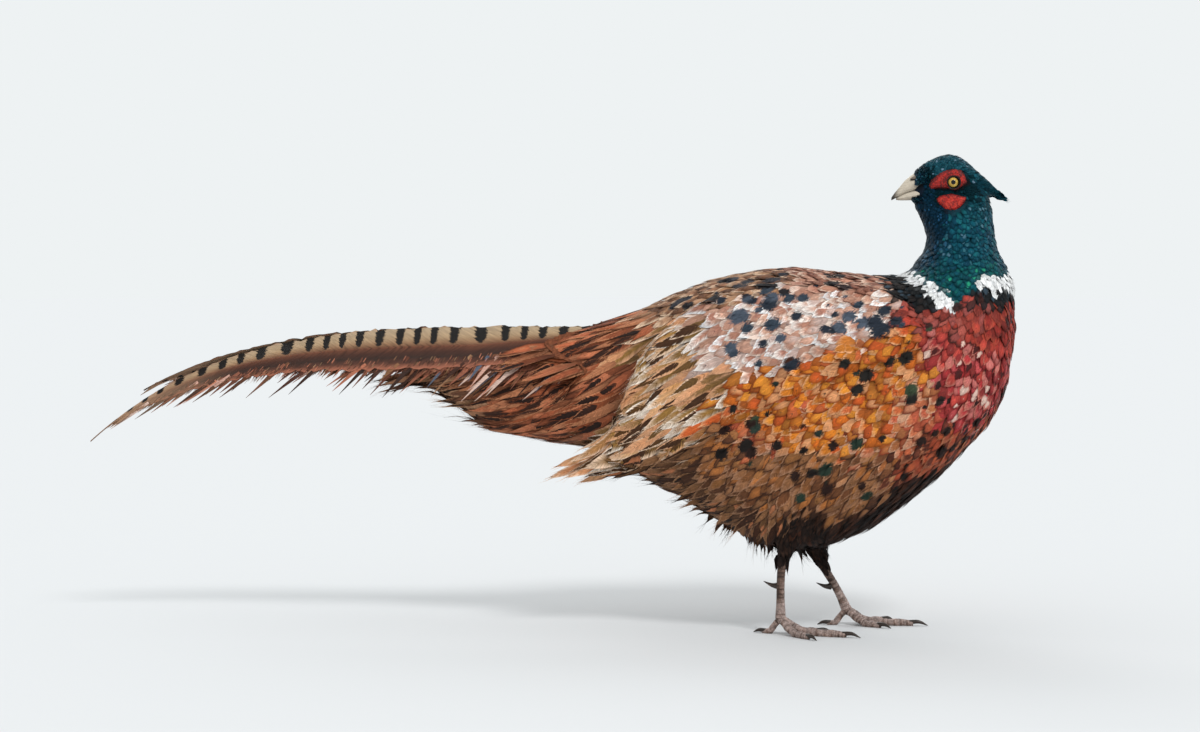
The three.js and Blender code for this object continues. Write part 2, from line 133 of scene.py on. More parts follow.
LIE_OF_HEAD = (
    ((29, 0, 5), (-0.8, 0.0, 0.6)),
    ((16, 4, 17), (-0.95, 0.0, 0.3)),
    ((0, 0, 22), (-1.0, 0.0, -0.05)),
    ((-20, 4, 11), (-0.85, 0.0, -0.55)),
    ((-30, 0, -14), (-0.3, 0.0, -0.95)),
    ((0, 14, -15), (-0.6, 0.0, -0.8)),
    ((12, 12, 8), (-0.95, 0.1, 0.1)),
    ((-12, 13, 2), (-0.85, 0.0, -0.5)),
    ((22, 7, -24), (-0.6, 0.0, -0.75)),
    ((5, 10, -36), (-0.2, 0.0, -1.0)),
    ((-20, 10, -25), (-0.25, 0.0, -0.95)),
    ((-20, 10.4, 3), (-0.82, 0.0, -0.57)),
    ((-30, 8.6, -6), (-0.82, 0.0, -0.57)),
    ((-30, 9, -13), (-0.97, 0.0, -0.22)),
    ((-42, 6, -14), (-0.9, 0.0, -0.4)),
)

# The tail: its ridge, and its pairs of feathers as distance of the tip from the longest, and width
TAIL_ROOT = (40.0, 248.0)
TAIL_TIP_X = -381.0
TAIL_DROP = {"right": 88.0, "left": 76.0}
TAIL_CURVE = 4
TAIL_SLOPE = math.radians(48)
TAIL_ARCH = 1.2
LEFT_TIP_AHEAD = 44.0
TAIL_PAIRS = (
    ("tail_centre", 0, 43),
    ("tail_second", 92, 42),
    ("tail_third", 158, 40),
    ("tail_fourth", 210, 38),
    ("tail_fifth", 252, 35),
    ("tail_outer", 288, 32),
)
SIDES = (("left", 1), ("right", -1))
TRACT_BORDER = 2.8  # how sharply one tract of plumage gives way to the next
FAR_TRACT = 400.0  # how low the score of a tract is that isn't near
LIT = 0.8  # the tracts' colours are as seen in the studio light, and the vanes are this much darker

# Tracts of plumage. Grounds, edges and marks are colours that its feathers choose from. Sizes are
# length, half width, distance apart and how high the tips lie over the skin. Edge is the share of
# the vane that its border takes, marked the share of feathers with a spot, and spot its size.
# Blotch is the size of a dark blot that spreads over several feathers, in place of their own spots.
# Pointed goes from 0 for a round tip to 1 for a sharp one, and loose is how far it stands free.
# Spots are places of the tract as x, y, z and reach, on one side.
TRACTS = {
    "crown": dict(
        piece="head",
        grounds=("14414e", "0f3645", "1c5260"),
        edges=("0a2733", "2c5a66"),
        # The crown's grey-lilac marks are painted highlight, the sheen on its glossy feathers
        marks=("6d8599",),
        size=(6.5, 1.7, 1.6, 1.1), edge=0.2, marked=0.12, spot=0.6,
        spots=(
            (321, 0, 388, 13), (336, 0, 381, 13), (304, 0, 382, 11), (312, 10, 380, 9),
            (334, 10, 376, 9),
        ),
    ),
    "nape": dict(
        piece="head",
        grounds=("12404c", "0e3140", "1d5560"),
        edges=("0a2733",),
        marks=("4f7382",),
        size=(7.5, 1.9, 1.8, 1.2), edge=0.22, marked=0.12, spot=0.6,
        spots=((348, 0, 364, 11), (352, 0, 350, 11), (344, 12, 352, 10), (336, 15, 345, 10)),
    ),
    "cheek": dict(
        piece="head",
        grounds=("060f16", "081722", "050c12"),
        edges=("040a10",),
        marks=("0f2a36",),
        size=(5.5, 1.5, 1.4, 1.0), edge=0.2, marked=0.1, spot=0.5,
        spots=(
            (334, 14, 362, 8), (339, 14, 356, 7), (312, 14, 354, 7), (322, 15, 356, 8),
            (294, 5, 370, 7),
        ),
    ),
    "ear_tuft": dict(
        piece="head",
        grounds=("0a222e", "0c2c3a", "071820"),
        edges=("103a46",),
        marks=("3c6474",),
        size=(14.5, 2.9, 1.5, 1.4), edge=0.2, marked=0.15, spot=0.5, pointed=0.9, loose=0.12,
        spots=((341, 11, 364, 7), (349, 9, 360, 7), (358, 7, 354, 8), (366, 6, 350, 7)),
    ),
    "throat": dict(
        piece="head",
        grounds=("0b2238", "0c2a44", "0a1c30"),
        edges=("071627",),
        marks=("20476a",),
        size=(6.5, 1.8, 1.7, 1.1), edge=0.22, marked=0.1, spot=0.5,
        spots=(
            (300, 0, 342, 13), (303, 9, 340, 12), (298, 0, 326, 12), (306, 12, 326, 10),
            (312, 16, 342, 9),
        ),
    ),
    "neck": dict(
        piece="neck",
        grounds=("125060", "0e4152", "1a6068", "123a52"),
        edges=("0a2936", "0d3040"),
        marks=("4f7386", "33626f"),
        size=(9.5, 2.6, 2.3, 1.8), edge=0.25, marked=0.18, spot=0.6,
        spots=(
            (330, 20, 334, 14), (328, 24, 318, 15), (352, 8, 330, 14), (356, 6, 312, 13),
            (343, 18, 322, 12),
        ),
    ),
    "neck_front": dict(
        piece="neck",
        grounds=("0c2a40", "0f3850", "0c2238"),
        edges=("081b2a",),
        marks=("2a5470",),
        size=(9.5, 2.6, 2.3, 1.8), edge=0.25, marked=0.15, spot=0.6,
        spots=((301, 0, 316, 13), (306, 12, 312, 12), (298, 4, 305, 9)),
    ),
    "neck_base": dict(
        piece="neck",
        grounds=("125456", "14605a", "104c58", "0f4450", "0e3f50"),
        edges=("0b3138",),
        marks=("2a9470",),
        size=(10.5, 2.9, 2.5, 2.0), edge=0.25, marked=0.08, spot=0.6,
        spots=(
            (312, 32, 298, 11), (328, 38, 294, 12), (340, 36, 296, 10), (354, 24, 298, 10),
            (326, 44, 284, 10),
        ),
    ),
    "collar": dict(
        piece="collar",
        grounds=("fbfbf8", "ffffff", "f0f0ee"),
        edges=("ffffff",),
        marks=("dfe2e4",),
        size=(10, 2.2, 2.0, 2.6), edge=0.3, marked=0.1, spot=0.5, pointed=0.6, loose=0.1,
        spots=(),
    ),
    "below_collar": dict(
        piece="collar",
        grounds=("101518", "1b1a1a", "241c19", "102630"),
        edges=("0b0d10",),
        marks=("33434f",),
        size=(13, 3.3, 3.1, 2.6), edge=0.25, marked=0.15, spot=0.6, pointed=0.35,
        spots=(
            (278, 0, 290, 9), (281, 20, 289, 10), (290, 38, 282, 9), (303, 50, 272, 8),
            (371, 0, 278, 9), (360, 26, 280, 10), (348, 38, 281, 8),
        ),
    ),
    "upper_breast": dict(
        piece="breast",
        grounds=("9c4e48", "b0584c", "92342a", "be4a38", "7c2a20", "b23a28"),
        edges=("4a201a", "9e4438"),
        marks=("3a1c18", "4a201a"),
        size=(18, 4.2, 4.0, 3.2), edge=0.25, marked=0.1, blotch=4.0, spot=0.9, pointed=0.5,
        spots=((326, 52, 262, 14), (300, 62, 264, 12), (342, 42, 266, 12), (276, 66, 268, 10)),
    ),
    "red_breast": dict(
        piece="breast",
        grounds=("b03428", "942820", "c04434", "7c241c"),
        edges=("5e1c14", "b44c38"),
        marks=("3a120e", "2e100f"),
        size=(18, 4.3, 4.1, 3.5), edge=0.25, marked=0.06, blotch=4.0, spot=0.9, pointed=0.5,
        spots=((372, 0, 256, 18), (366, 26, 258, 16), (352, 40, 256, 13)),
    ),
    "crimson_breast": dict(
        piece="breast",
        grounds=("b83034", "c44e50", "9a2a2a", "c8463a", "d07870", "7a2420"),
        edges=("7a1e20", "c87868", "8a2a26"),
        marks=("4a1614", "2e1210", "e8c4b4"),
        size=(19, 4.3, 4.1, 3.5), edge=0.25, marked=0.2, spot=0.6, pointed=0.5,
        spots=(
            (348, 52, 225, 20), (330, 62, 205, 20), (362, 30, 215, 20), (350, 44, 190, 18),
            (318, 66, 240, 13), (370, 0, 225, 20),
        ),
    ),
    "low_breast": dict(
        piece="breast",
        grounds=("8a3c26", "b04c2e", "5e2a1c", "bc5a36", "40190f"),
        edges=("3a1a10", "b06c4c"),
        marks=("24120c",),
        size=(21, 4.3, 4.3, 3.8), edge=0.25, marked=0.1, blotch=4.5, spot=0.9, pointed=0.65, loose=0.12,
        spots=((352, 16, 180, 18), (338, 36, 165, 18), (318, 54, 158, 18), (296, 66, 148, 16)),
    ),
    "belly": dict(
        piece="belly",
        grounds=("1c100b", "2a170f", "160c08", "341c13", "482718"),
        edges=("0f0806", "3c2214"),
        marks=("0c0706",),
        size=(28, 3.3, 4.2, 4.2), edge=0.2, marked=0.2, spot=0.5, pointed=0.9, loose=0.5,
        spots=(
            (330, 0, 140, 24), (310, 30, 126, 18), (290, 50, 110, 16), (280, 0, 96, 28),
            (240, 0, 78, 34), (250, 45, 82, 18), (200, 0, 68, 34), (205, 50, 76, 16),
            (226, 74, 96, 15), (258, 70, 98, 14), (202, 74, 96, 15),
        ),
    ),
    "orange_flank": dict(
        piece="flank",
        grounds=("e08220", "cc6414", "e8942e", "d0541e", "bc7226", "dc9c6c", "a04e16", "d6683a"),
        edges=("a85418", "e6a878", "8f3e12"),
        marks=("1f1c18", "24302a", "3c4a34", "4a2412"),
        size=(21, 4.8, 4.3, 3.8), edge=0.22, marked=0.08, blotch=3.6, spot=1.0, pointed=0.45,
        spots=(
            (292, 72, 228, 18), (262, 80, 210, 22), (230, 84, 208, 20), (240, 84, 180, 18),
            (200, 84, 190, 20), (270, 76, 185, 18), (176, 82, 195, 14),
        ),
    ),
    "salmon_flank": dict(
        piece="flank",
        grounds=("c86c46", "c0553a", "d68e6a", "b06a3a", "8e4428", "dca886"),
        edges=("8a3a22", "dca888"),
        marks=("241814", "4a2416", "2c3a30"),
        size=(22, 4.8, 4.3, 3.8), edge=0.22, marked=0.09, blotch=3.4, spot=1.0, pointed=0.5,
        spots=(
            (306, 70, 200, 16), (296, 70, 172, 16), (216, 84, 190, 10), (256, 78, 168, 12),
            (180, 82, 165, 14),
        ),
    ),
    "brown_flank": dict(
        piece="flank",
        grounds=("86542f", "a46c3c", "6a3e24", "946440", "52301c", "b88058", "b87038"),
        edges=("42261a", "b08060"),
        marks=("1c1410", "2c160f", "26382c"),
        size=(28, 4.4, 4.6, 4.2), edge=0.22, marked=0.09, blotch=4.4, spot=1.0, pointed=0.7, loose=0.3,
        spots=(
            (270, 68, 140, 18), (236, 78, 142, 20), (204, 80, 138, 20), (170, 78, 140, 20),
            (246, 74, 124, 16),
        ),
    ),
    "low_flank": dict(
        piece="fringe",
        grounds=("60402a", "7a5434", "46291a", "906442", "3a2016"),
        edges=("2a1812", "a87c5c"),
        marks=("1a110e", "b9744e"),
        size=(38, 3.8, 4.4, 4.6), edge=0.2, marked=0.25, spot=0.6, pointed=0.85, loose=0.5,
        spots=(
            (176, 72, 100, 18), (146, 68, 108, 18), (120, 62, 116, 18), (95, 54, 120, 16),
            (72, 48, 128, 16), (60, 30, 132, 14), (120, 0, 100, 20), (80, 0, 118, 20),
        ),
    ),
    "mantle": dict(
        piece="back",
        grounds=("be866e", "a86e58", "cc9880", "8a5442"),
        edges=("6a3a2c", "e8c8b2"),
        marks=("231c1e", "3a2a2a"),
        size=(20, 4.8, 4.5, 2.6), edge=0.25, marked=0.11, blotch=3.8, spot=1.0, pointed=0.5,
        spots=((262, 18, 292, 18), (236, 26, 296, 16), (262, 46, 284, 12), (210, 0, 300, 20)),
    ),
    "back": dict(
        piece="back",
        grounds=("a06e4e", "b4845e", "7c4e32", "c69876", "68422c"),
        edges=("5a3824", "e4c4a6"),
        marks=("1f1b1e", "2a2a32"),
        size=(26, 4.8, 4.8, 2.6), edge=0.25, marked=0.14, blotch=3.8, spot=1.0, pointed=0.6,
        spots=(
            (180, 10, 300, 20), (150, 20, 294, 18), (120, 20, 286, 18), (100, 0, 278, 18),
            (170, 46, 292, 14),
        ),
    ),
    "coverts": dict(
        piece="wing",
        grounds=("ca9780", "bc826a", "d6a68e", "b07460", "d4bab0"),
        edges=("ffffff", "fff6ee", "f0d8c8", "c49580"),
        marks=("36424f", "242c38", "4c5664"),
        size=(22, 4.8, 4.6, 2.0), edge=0.36, marked=0.13, blotch=4.4, spot=1.0, pointed=0.5,
        spots=(
            (278, 66, 268, 13), (258, 74, 264, 15), (232, 76, 268, 17), (204, 78, 266, 17),
            (176, 76, 266, 16), (228, 82, 246, 12), (200, 84, 240, 14), (176, 82, 240, 12),
            (150, 78, 262, 14), (150, 80, 240, 12),
        ),
    ),
    "olive": dict(
        piece="wing_panel",
        grounds=("987030", "aa803c", "78582a", "c08a56", "e2ac7a", "e8a274"),
        edges=("fff0e0", "f8d6b8", "e8ae84"),
        marks=("5c3c1c", "70502a", "482c18"),
        size=(58, 4.8, 6.2, 2.4), edge=0.36, marked=0.42, spot=0.8, pointed=0.9, loose=0.12,
        spots=(
            (124, 72, 246, 16), (132, 78, 222, 16), (110, 70, 224, 16), (96, 64, 212, 16),
            (90, 62, 190, 18), (70, 56, 170, 18), (110, 72, 188, 16), (60, 52, 150, 16),
            (130, 80, 200, 12), (84, 58, 235, 12),
        ),
    ),
    "rump": dict(
        piece="rump",
        grounds=("a4542f", "bc6440", "88462a", "d07c56", "704028", "a86c4c", "c07e58"),
        edges=("cc8860", "4e2818", "6e3a22"),
        marks=("2a1710", "3a2016"),
        size=(54, 3.5, 4.9, 3.6), edge=0.2, marked=0.3, spot=0.7, pointed=0.85, loose=0.26,
        spots=(
            (72, 10, 262, 18), (46, 20, 246, 18), (40, 38, 215, 18), (20, 34, 190, 18),
            (40, 40, 180, 16), (0, 24, 175, 16), (10, 30, 215, 16), (-20, 20, 200, 18),
            (30, 10, 160, 18),
        ),
    ),
    "tail_coverts": dict(
        piece="rump",
        grounds=("86583e", "9c704e", "5c3e2e", "bc8664"),
        edges=("3a261c", "d0a07a"),
        marks=("191310",),
        size=(58, 3.2, 5.0, 3.0), edge=0.18, marked=0.3, spot=0.6, pointed=0.9, loose=0.4,
        spots=((-40, 10, 222, 16), (-60, 10, 205, 18), (-30, 12, 175, 16), (-90, 0, 212, 16)),
    ),
    "thigh": dict(
        piece="thigh",
        grounds=("2c1d17", "3a261c", "221611"),
        edges=("140d0a",),
        marks=("4a3226",),
        size=(11, 2.2, 2.6, 2.0), edge=0.2, marked=0.15, spot=0.5, pointed=0.6, loose=0.08,
        spots=(
            (206, 42, 108, 15), (196, 36, 90, 14), (190, 32, 72, 12), (187, 31, 60, 8),
            (214, 36, 92, 14), (212, 32, 70, 12), (218, 31, 52, 8),
        ),
    ),
}
NAMES = list(TRACTS)
PIECES = {  # slot, roughness and gloss of its vanes
    "head": ("head_feathers", 0.42, 0.28),
    "neck": ("neck_feathers", 0.42, 0.28),
    "collar": ("neck_feathers", 0.7, 0.0),
    "breast": ("body_feathers", 0.6, 0.0),
    "belly": ("body_feathers", 0.75, 0.0),
    "flank": ("body_feathers", 0.62, 0.0),
    "fringe": ("body_feathers", 0.72, 0.0),
    "back": ("body_feathers", 0.62, 0.0),
    "wing": ("wing_coverts", 0.62, 0.0),
    "wing_panel": ("flight_feathers", 0.62, 0.0),
    "rump": ("rump_feathers", 0.66, 0.0),
    "thigh": ("thigh_feathers", 0.78, 0.0),
}


def linear(code):
    """Linear red, green, blue and alpha of an sRGB hex colour."""
    parts = [int(code[i : i + 2], 16) / 255 for i in (0, 2, 4)]
    return (*(c / 12.92 if c <= 0.04045 else ((c + 0.055) / 1.055) ** 2.4 for c in parts), 1.0)


def tints(codes):
    """Linear red, green and blue of several sRGB hex colours."""
    return np.array([linear(code)[:3] for code in codes])


def unit(vectors):
    """Vectors with their lengths made 1."""
    return vectors / np.maximum(np.linalg.norm(vectors, axis=-1, keepdims=True), 1e-9)


def eased(value, low, high):
    """0 below low, 1 above high and a smooth rise between them."""
    t = np.clip((value - low) / (high - low), 0, 1)
    return t * t * (3 - 2 * t)


def from_head(points, place=True):
    """Points or directions of the head's own frame, in the row frame."""
    points = np.asarray(points, float)
    c, s = math.cos(HEAD_YAW), math.sin(HEAD_YAW)
    x, y, z = points[..., 0], points[..., 1], points[..., 2]
    turned = np.stack((x * c - y * s, x * s + y * c, z), -1)
    return turned + HEAD_MIDDLE if place else turned


def to_head(points):
    """Points of the row frame, in the head's own frame."""
    away = np.asarray(points, float) - HEAD_MIDDLE
    c, s = math.cos(HEAD_YAW), math.sin(HEAD_YAW)
    x, y, z = away[..., 0], away[..., 1], away[..., 2]
    return np.stack((x * c + y * s, -x * s + y * c, z), -1)


def both_sides(pairs):
    """Places and directions with their mirror images."""
    places = np.array([p for p, _ in pairs], float)
    ways = np.array([d for _, d in pairs], float)
    flip = np.array((1.0, -1.0, 1.0))
    return np.concatenate((places, places * flip)), np.concatenate((ways, ways * flip))


body_places, body_ways = both_sides(LIE_OF_BODY)
head_places, head_ways = both_sides(LIE_OF_HEAD)
GUIDE_PLACES = np.concatenate((body_places, from_head(head_places)))
GUIDE_WAYS = unit(np.concatenate((body_ways, from_head(head_ways, place=False))))
GUIDE_FALL = 3.5  # how fast a guide loses its pull with distance
GUIDE_ROUNDING = 2  # added to that distance, so that no guide pulls without limit


def lie(points):
    """Direction in which the plumage lies at each point."""
    away = np.linalg.norm(points[:, None] - GUIDE_PLACES[None], axis=-1) + GUIDE_ROUNDING
    pull = away**-GUIDE_FALL
    return unit(pull @ GUIDE_WAYS)


def to_line(points, line):
    """Distance of each point from a line of straight pieces."""
    least = np.full(len(points), 1e9)
    for a, b in zip(np.array(line[:-1], float), np.array(line[1:], float)):
        t = np.clip(((points - a) @ (b - a)) / ((b - a) @ (b - a)), 0, 1)
        least = np.minimum(least, np.linalg.norm(points - a - t[:, None] * (b - a), axis=-1))
    return least


def shares(points):
    """How much of each tract there is at each point, adding up to 1."""
    folded = np.stack((points[:, 0], np.abs(points[:, 1]), points[:, 2]), -1)
    score = np.full((len(points), len(NAMES)), -FAR_TRACT)
    for i, name in enumerate(NAMES):
        for x, y, z, reach in TRACTS[name]["spots"]:
            away = np.linalg.norm(folded - (x, y, z), axis=-1) / reach
            score[:, i] = np.maximum(score[:, i], -TRACT_BORDER * away**2)
    ring = np.minimum(to_line(folded, COLLAR[0]), to_line(folded, COLLAR[1]))
    near = COLLAR_PULL * (1 - ring / COLLAR_HALF)
    score[:, NAMES.index("collar")] = np.where(near > -COLLAR_LIMIT, near, -FAR_TRACT)
    score -= score.max(1, keepdims=True)
    held = np.exp(score)
    return held / held.sum(1, keepdims=True)


def tract_values(key, place=None):
    """One number of every tract, in the order of NAMES."""
    held = [TRACTS[name].get(key, 0.0) for name in NAMES]
    return np.array([value if place is None else value[place] for value in held], float)


COLOUR_KINDS = ("grounds", "edges", "marks")
COLOURS = {key: [LIT * tints(TRACTS[name][key]) for name in NAMES] for key in COLOUR_KINDS}


# Pieces


def finish(obj, material, nodes=()):
    """Puts a finished piece on the bird."""
    obj.data.materials.clear()
    obj.data.materials.append(material)
    for polygon in obj.data.polygons:
        polygon.use_smooth = True
    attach(obj, "root")
    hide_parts(*nodes)
    return obj


def placed(name, mesh):
    """A new object of the scene with this mesh."""
    obj = bpy.data.objects.new(name, mesh)
    bpy.context.scene.collection.objects.link(obj)
    return obj


def from_form(name, form):
    """An object from a bmesh in millimetres, which it uses up."""
    bmesh.ops.scale(form, vec=(MM, MM, MM), verts=form.verts)
    mesh = bpy.data.meshes.new(name)
    form.to_mesh(mesh)
    form.free()
    return placed(name, mesh)


def lofted(rings, closed=True):
    """A form through rings of points, each ring with the same number of them."""
    form = bmesh.new()
    loops = []
    for ring in rings:
        made = bmesh.ops.create_circle(form, segments=len(ring), radius=1)["verts"]
        for vert, point in zip(made, ring):
            vert.co = point
        loops.append(list({edge for vert in made for edge in vert.link_edges}))
    for a, b in zip(loops, loops[1:]):
        bmesh.ops.bridge_loops(form, edges=a + b)
    if closed:
        for loop in (loops[0], loops[-1]):
            bmesh.ops.edgeloop_fill(form, edges=loop)
    bmesh.ops.recalc_face_normals(form, faces=form.faces)
    return form


def keep(mesh, name, kind, values):
    """Writes one attribute of a mesh's points."""
    made = mesh.attributes.new(name, kind, "POINT")
    field = {"FLOAT_VECTOR": "vector", "FLOAT_COLOR": "color", "FLOAT": "value"}[kind]
    made.data.foreach_set(field, np.ascontiguousarray(values, np.float32).ravel())


def positions(mesh):
    """Places of a mesh's points in millimetres."""
    held = np.empty(len(mesh.vertices) * 3, np.float32)
    mesh.vertices.foreach_get("co", held)
    return held.reshape(-1, 3).astype(float) / MM


# The skin


def joined_flesh():
    """The plumage solids as one closed skin, still at the outside of the plumage."""
    whole = bmesh.new()
    for name in FLESH + TUFTS + FLIGHT:
        part = bmesh.new()
        part.from_mesh(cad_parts[name].data)
        bmesh.ops.remove_doubles(part, verts=part.verts, dist=1e-6)
        part.normal_update()
        for vert in part.verts:
            vert.co += vert.normal * JOIN * MM
        held = bpy.data.meshes.new("held")
        part.to_mesh(held)
        part.free()
        whole.from_mesh(held)
        bpy.data.meshes.remove(held)
    mesh = bpy.data.meshes.new("flesh")
    whole.to_mesh(mesh)
    whole.free()
    rough = placed("flesh", mesh)
    remesh = rough.modifiers.new("remesh", "REMESH")
    remesh.mode = "VOXEL"
    remesh.voxel_size = VOXEL * MM
    smooth = rough.modifiers.new("smooth", "SMOOTH")
    smooth.factor = 0.5
    smooth.iterations = SKIN_SMOOTHING
    evaluated = rough.evaluated_get(bpy.context.evaluated_depsgraph_get())
    skin_mesh = bpy.data.meshes.new_from_object(evaluated)
    skin_mesh.name = "skin"
    bpy.data.objects.remove(rough)
    return placed("skin", skin_mesh)


skin = joined_flesh()
outside = positions(skin.data)
normals = np.array([v.normal[:] for v in skin.data.vertices])
skin_shares = shares(outside)
depth = skin_shares @ tract_values("size", 3)
inside = outside - normals * (depth + JOIN)[:, None]
skin.data.vertices.foreach_set("co", (inside * MM).astype(np.float32).ravel())
skin.data.update()
bpy.context.view_layer.objects.active = skin
skin.select_set(True)
bpy.ops.object.mode_set(mode="EDIT")
bpy.ops.mesh.select_all(action="SELECT")
bpy.ops.uv.smart_project(angle_limit=math.radians(70), island_margin=0.002)
bpy.ops.object.mode_set(mode="OBJECT")
skin.data.uv_layers[0].name = "OFBake"
skin.data.calc_loop_triangles()
triangles = np.empty(len(skin.data.loop_triangles) * 3, np.int32)
skin.data.loop_triangles.foreach_get("vertices", triangles)
triangles = triangles.reshape(-1, 3)
corners = np.empty(len(skin.data.loop_triangles) * 3, np.int32)
skin.data.loop_triangles.foreach_get("loops", corners)
corners = corners.reshape(-1, 3)
unwrap = np.empty(len(skin.data.loops) * 2, np.float32)
skin.data.uv_layers["OFBake"].data.foreach_get("uv", unwrap)
unwrap = unwrap.reshape(-1, 2)
surface = BVHTree.FromPolygons(inside.tolist(), triangles.tolist())


def on_skin(points):
    """Nearest points of the skin, and its smooth normals and triangles there."""
    found = [surface.find_nearest(Vector(p)) for p in points]
    near = np.array([f[0][:] for f in found])
    index = np.array([f[2] for f in found])
    tri = triangles[index]
    a, b, c = inside[tri[:, 0]], inside[tri[:, 1]], inside[tri[:, 2]]
    whole = np.cross(b - a, c - a)
    area = np.maximum((whole * whole).sum(1), 1e-12)
    u = (np.cross(c - b, near - b) * whole).sum(1) / area
    v = (np.cross(a - c, near - c) * whole).sum(1) / area
    weights = (u, v, 1 - u - v)
    normal = sum(normals[tri[:, k]] * weight[:, None] for k, weight in enumerate(weights))
    return near, unit(normal), index


def mean_colour(key, held):
    """Mean of the tracts' colours, each with its share."""
    return held @ np.array([c.mean(0) for c in COLOURS[key]])


ground = mean_colour("grounds", skin_shares)
keep(skin.data, "ground", "FLOAT_COLOR", np.concatenate((ground, np.ones((len(ground), 1))), 1))


# Feathers

STATIONS = np.array((0.0, 0.24, 0.46, 0.66, 0.82, 0.93, 1.0))
ACROSS = np.array((-1.0, -0.5, 0.0, 0.5, 1.0))
ROUND_TIP = np.array((0.35, 0.8, 0.97, 1.0, 0.88, 0.6, 0.1))
SHARP_TIP = np.array((0.4, 0.85, 1.0, 0.8, 0.48, 0.22, 0.02))
RAGGED = 0.1  # of the half width, towards the edges
ROOT_DEPTH = 0.5
CAMBER = 0.16  # height of the middle over the edges, as a share of the half width
TIP_SWEEP = 0.06  # how far the edges of a tip lie back, as a share of the length
TIP_SPLIT = 0.025  # how unevenly the barbs end there
LEAVING = (0.35, 0.9)  # distances from the skin, in steps, at which a feather lifts off and is free
STIFF_ON_SKIN = 0.6  # how much of its way a feather keeps at each step, against turning to the lie
STIFF_IN_AIR = 0.35
STRAY_SHARE = 0.12  # of the feathers, which stand free further than the others
STRAY_LOOSE = 2.2
OWN_COLOUR = 0.8  # share of a feather's own colour in its ground, against the mean of the place
PATCH = 0.003  # of a feather on the skin's unwrap
WISP_HALF = 0.55
WISP_ROOTS = (0.45, 0.8)  # least and most share of a feather's length where they start
WISP_ACROSS = 0.85  # most share of its half width where they start
WISP_SPREAD = 0.35  # how much further across they can part from it
WISP_PART = 0.2  # how much further along, and at most how far
WISP_LAST = 0.97
WISP_REACH = (0.14, 0.16)  # share of the feather's length past it, and how much more if it is loose
WISP_SIZES = (0.4, 1.3)
WISP_WAYWARD = 0.12  # how unevenly they point
WISP_DROOP = 0.12  # how far they come back to the skin, as a share of their reach
WISP_SHAPE = np.array((0.5, 0.42, 0.04))
WISP_LIFT = np.array((0.02, 0.14, 0.0))
WISP_SIDES = np.array((-1.0, 1.0))
WISP_FULL_AT = 6  # half width of the feathers whose wisps are drawn at full width
BLOT_STRETCH = 0.4  # how much less a blot's length counts than its width
BLOT_HEIGHT = 0.9  # of the rise of the tips
BLOT_REACH = 1.6  # distance from a blot's middle, in its sizes, within which feathers take its colour
BLOTS_NEAR = 3  # how many blots a feather can meet
SHOWN_AT = 0.7  # where along a feather the coat shows it
TRIES = 9  # places tried for each square as wide as the distance between feathers
LOBE_CLEARANCE = 0.3  # round the red face, without feathers
EYE_CLEARANCE = 6.2  # from the middle of the eye, without feathers
FACE_FROM = 5  # distance to the side from which the head counts as face
BARE_BILL = (25, -17, 7.5)  # least distance ahead, and least and most height
BARE_HEAD = (-16, -28)  # least distance ahead and least height of the bare face and bill
TUFT_END = (-36, -24)  # most distance ahead and least height of the bare end of an ear tuft
TAIL_RIDGE = (58, 18, 236)  # most x, most distance to the side and least z of the tail's bare ridge
WING_TOP = 240  # below this the wing's long feathers grow only on the side
BEHIND_WING = (20, 34, 130)  # least x, y and z of the fold behind the wing
WING_SIDE = 0.75  # least turn to the side of the skin that the wing's long feathers grow on
WING_BACK = 0.6  # most turn to the back of the skin behind the wing that feathers grow on
FOLDS_AHEAD = 135  # the skin's folds behind this place turn feathers aside, and those are left out
LEAST_ALONG = 0.6  # least share of such a feather's way that goes along the lie


def scattered(tract, index):
    """Points on the skin's triangles of one tract, all at least its distance apart."""
    apart = tract["size"][2]
    a, b, c = (inside[triangles[index, k]] for k in range(3))
    area = np.linalg.norm(np.cross(b - a, c - a), axis=1) / 2
    tries = int(TRIES * area.sum() / apart**2) + 1
    pick = chance.choice(len(index), tries, p=area / area.sum())
    u, v = chance.random((2, tries))
    over = u + v > 1
    u[over], v[over] = 1 - u[over], 1 - v[over]
    points = a[pick] + (b - a)[pick] * u[:, None] + (c - a)[pick] * v[:, None]
    cells = {}
    kept = []
    for i, (p, cell) in enumerate(zip(points.tolist(), np.floor(points / apart).astype(int).tolist())):
        x, y, z = cell
        clear = True
        for dx in (-1, 0, 1):
            for dy in (-1, 0, 1):
                for dz in (-1, 0, 1):
                    for q in cells.get((x + dx, y + dy, z + dz), ()):
                        if (p[0] - q[0]) ** 2 + (p[1] - q[1]) ** 2 + (p[2] - q[2]) ** 2 < apart * apart:
                            clear = False
        if clear:
            cells.setdefault((x, y, z), []).append(p)
            kept.append(i)
    return points[kept]


def chosen(key, picks):
    """One of the tract's colours for each feather."""
    made = np.zeros((len(picks), 3))
    for i in range(len(NAMES)):
        mine = picks == i
        colours = COLOURS[key][i]
        made[mine] = colours[chance.integers(0, len(colours), mine.sum())]
    return made


def in_lobe(flat, outline):
    """How far inside an outline each flat point is, and less than 0 outside it."""
    corners = np.array(outline, float)
    least = np.full(flat.shape[:-1], 1e9)
    crossings = np.zeros(flat.shape[:-1], int)
    for a, b in zip(corners, np.roll(corners, -1, 0)):
        share = np.clip(((flat - a) @ (b - a)) / ((b - a) @ (b - a)), 0, 1)
        least = np.minimum(least, np.linalg.norm(flat - a - share[..., None] * (b - a), axis=-1))
        spans = (a[1] > flat[..., 1]) != (b[1] > flat[..., 1])
        meet = a[0] + (flat[..., 1] - a[1]) * (b[0] - a[0]) / (b[1] - a[1] if b[1] != a[1] else 1)
        crossings += spans & (flat[..., 0] < meet)
    return np.where(crossings % 2 == 1, least, -least)


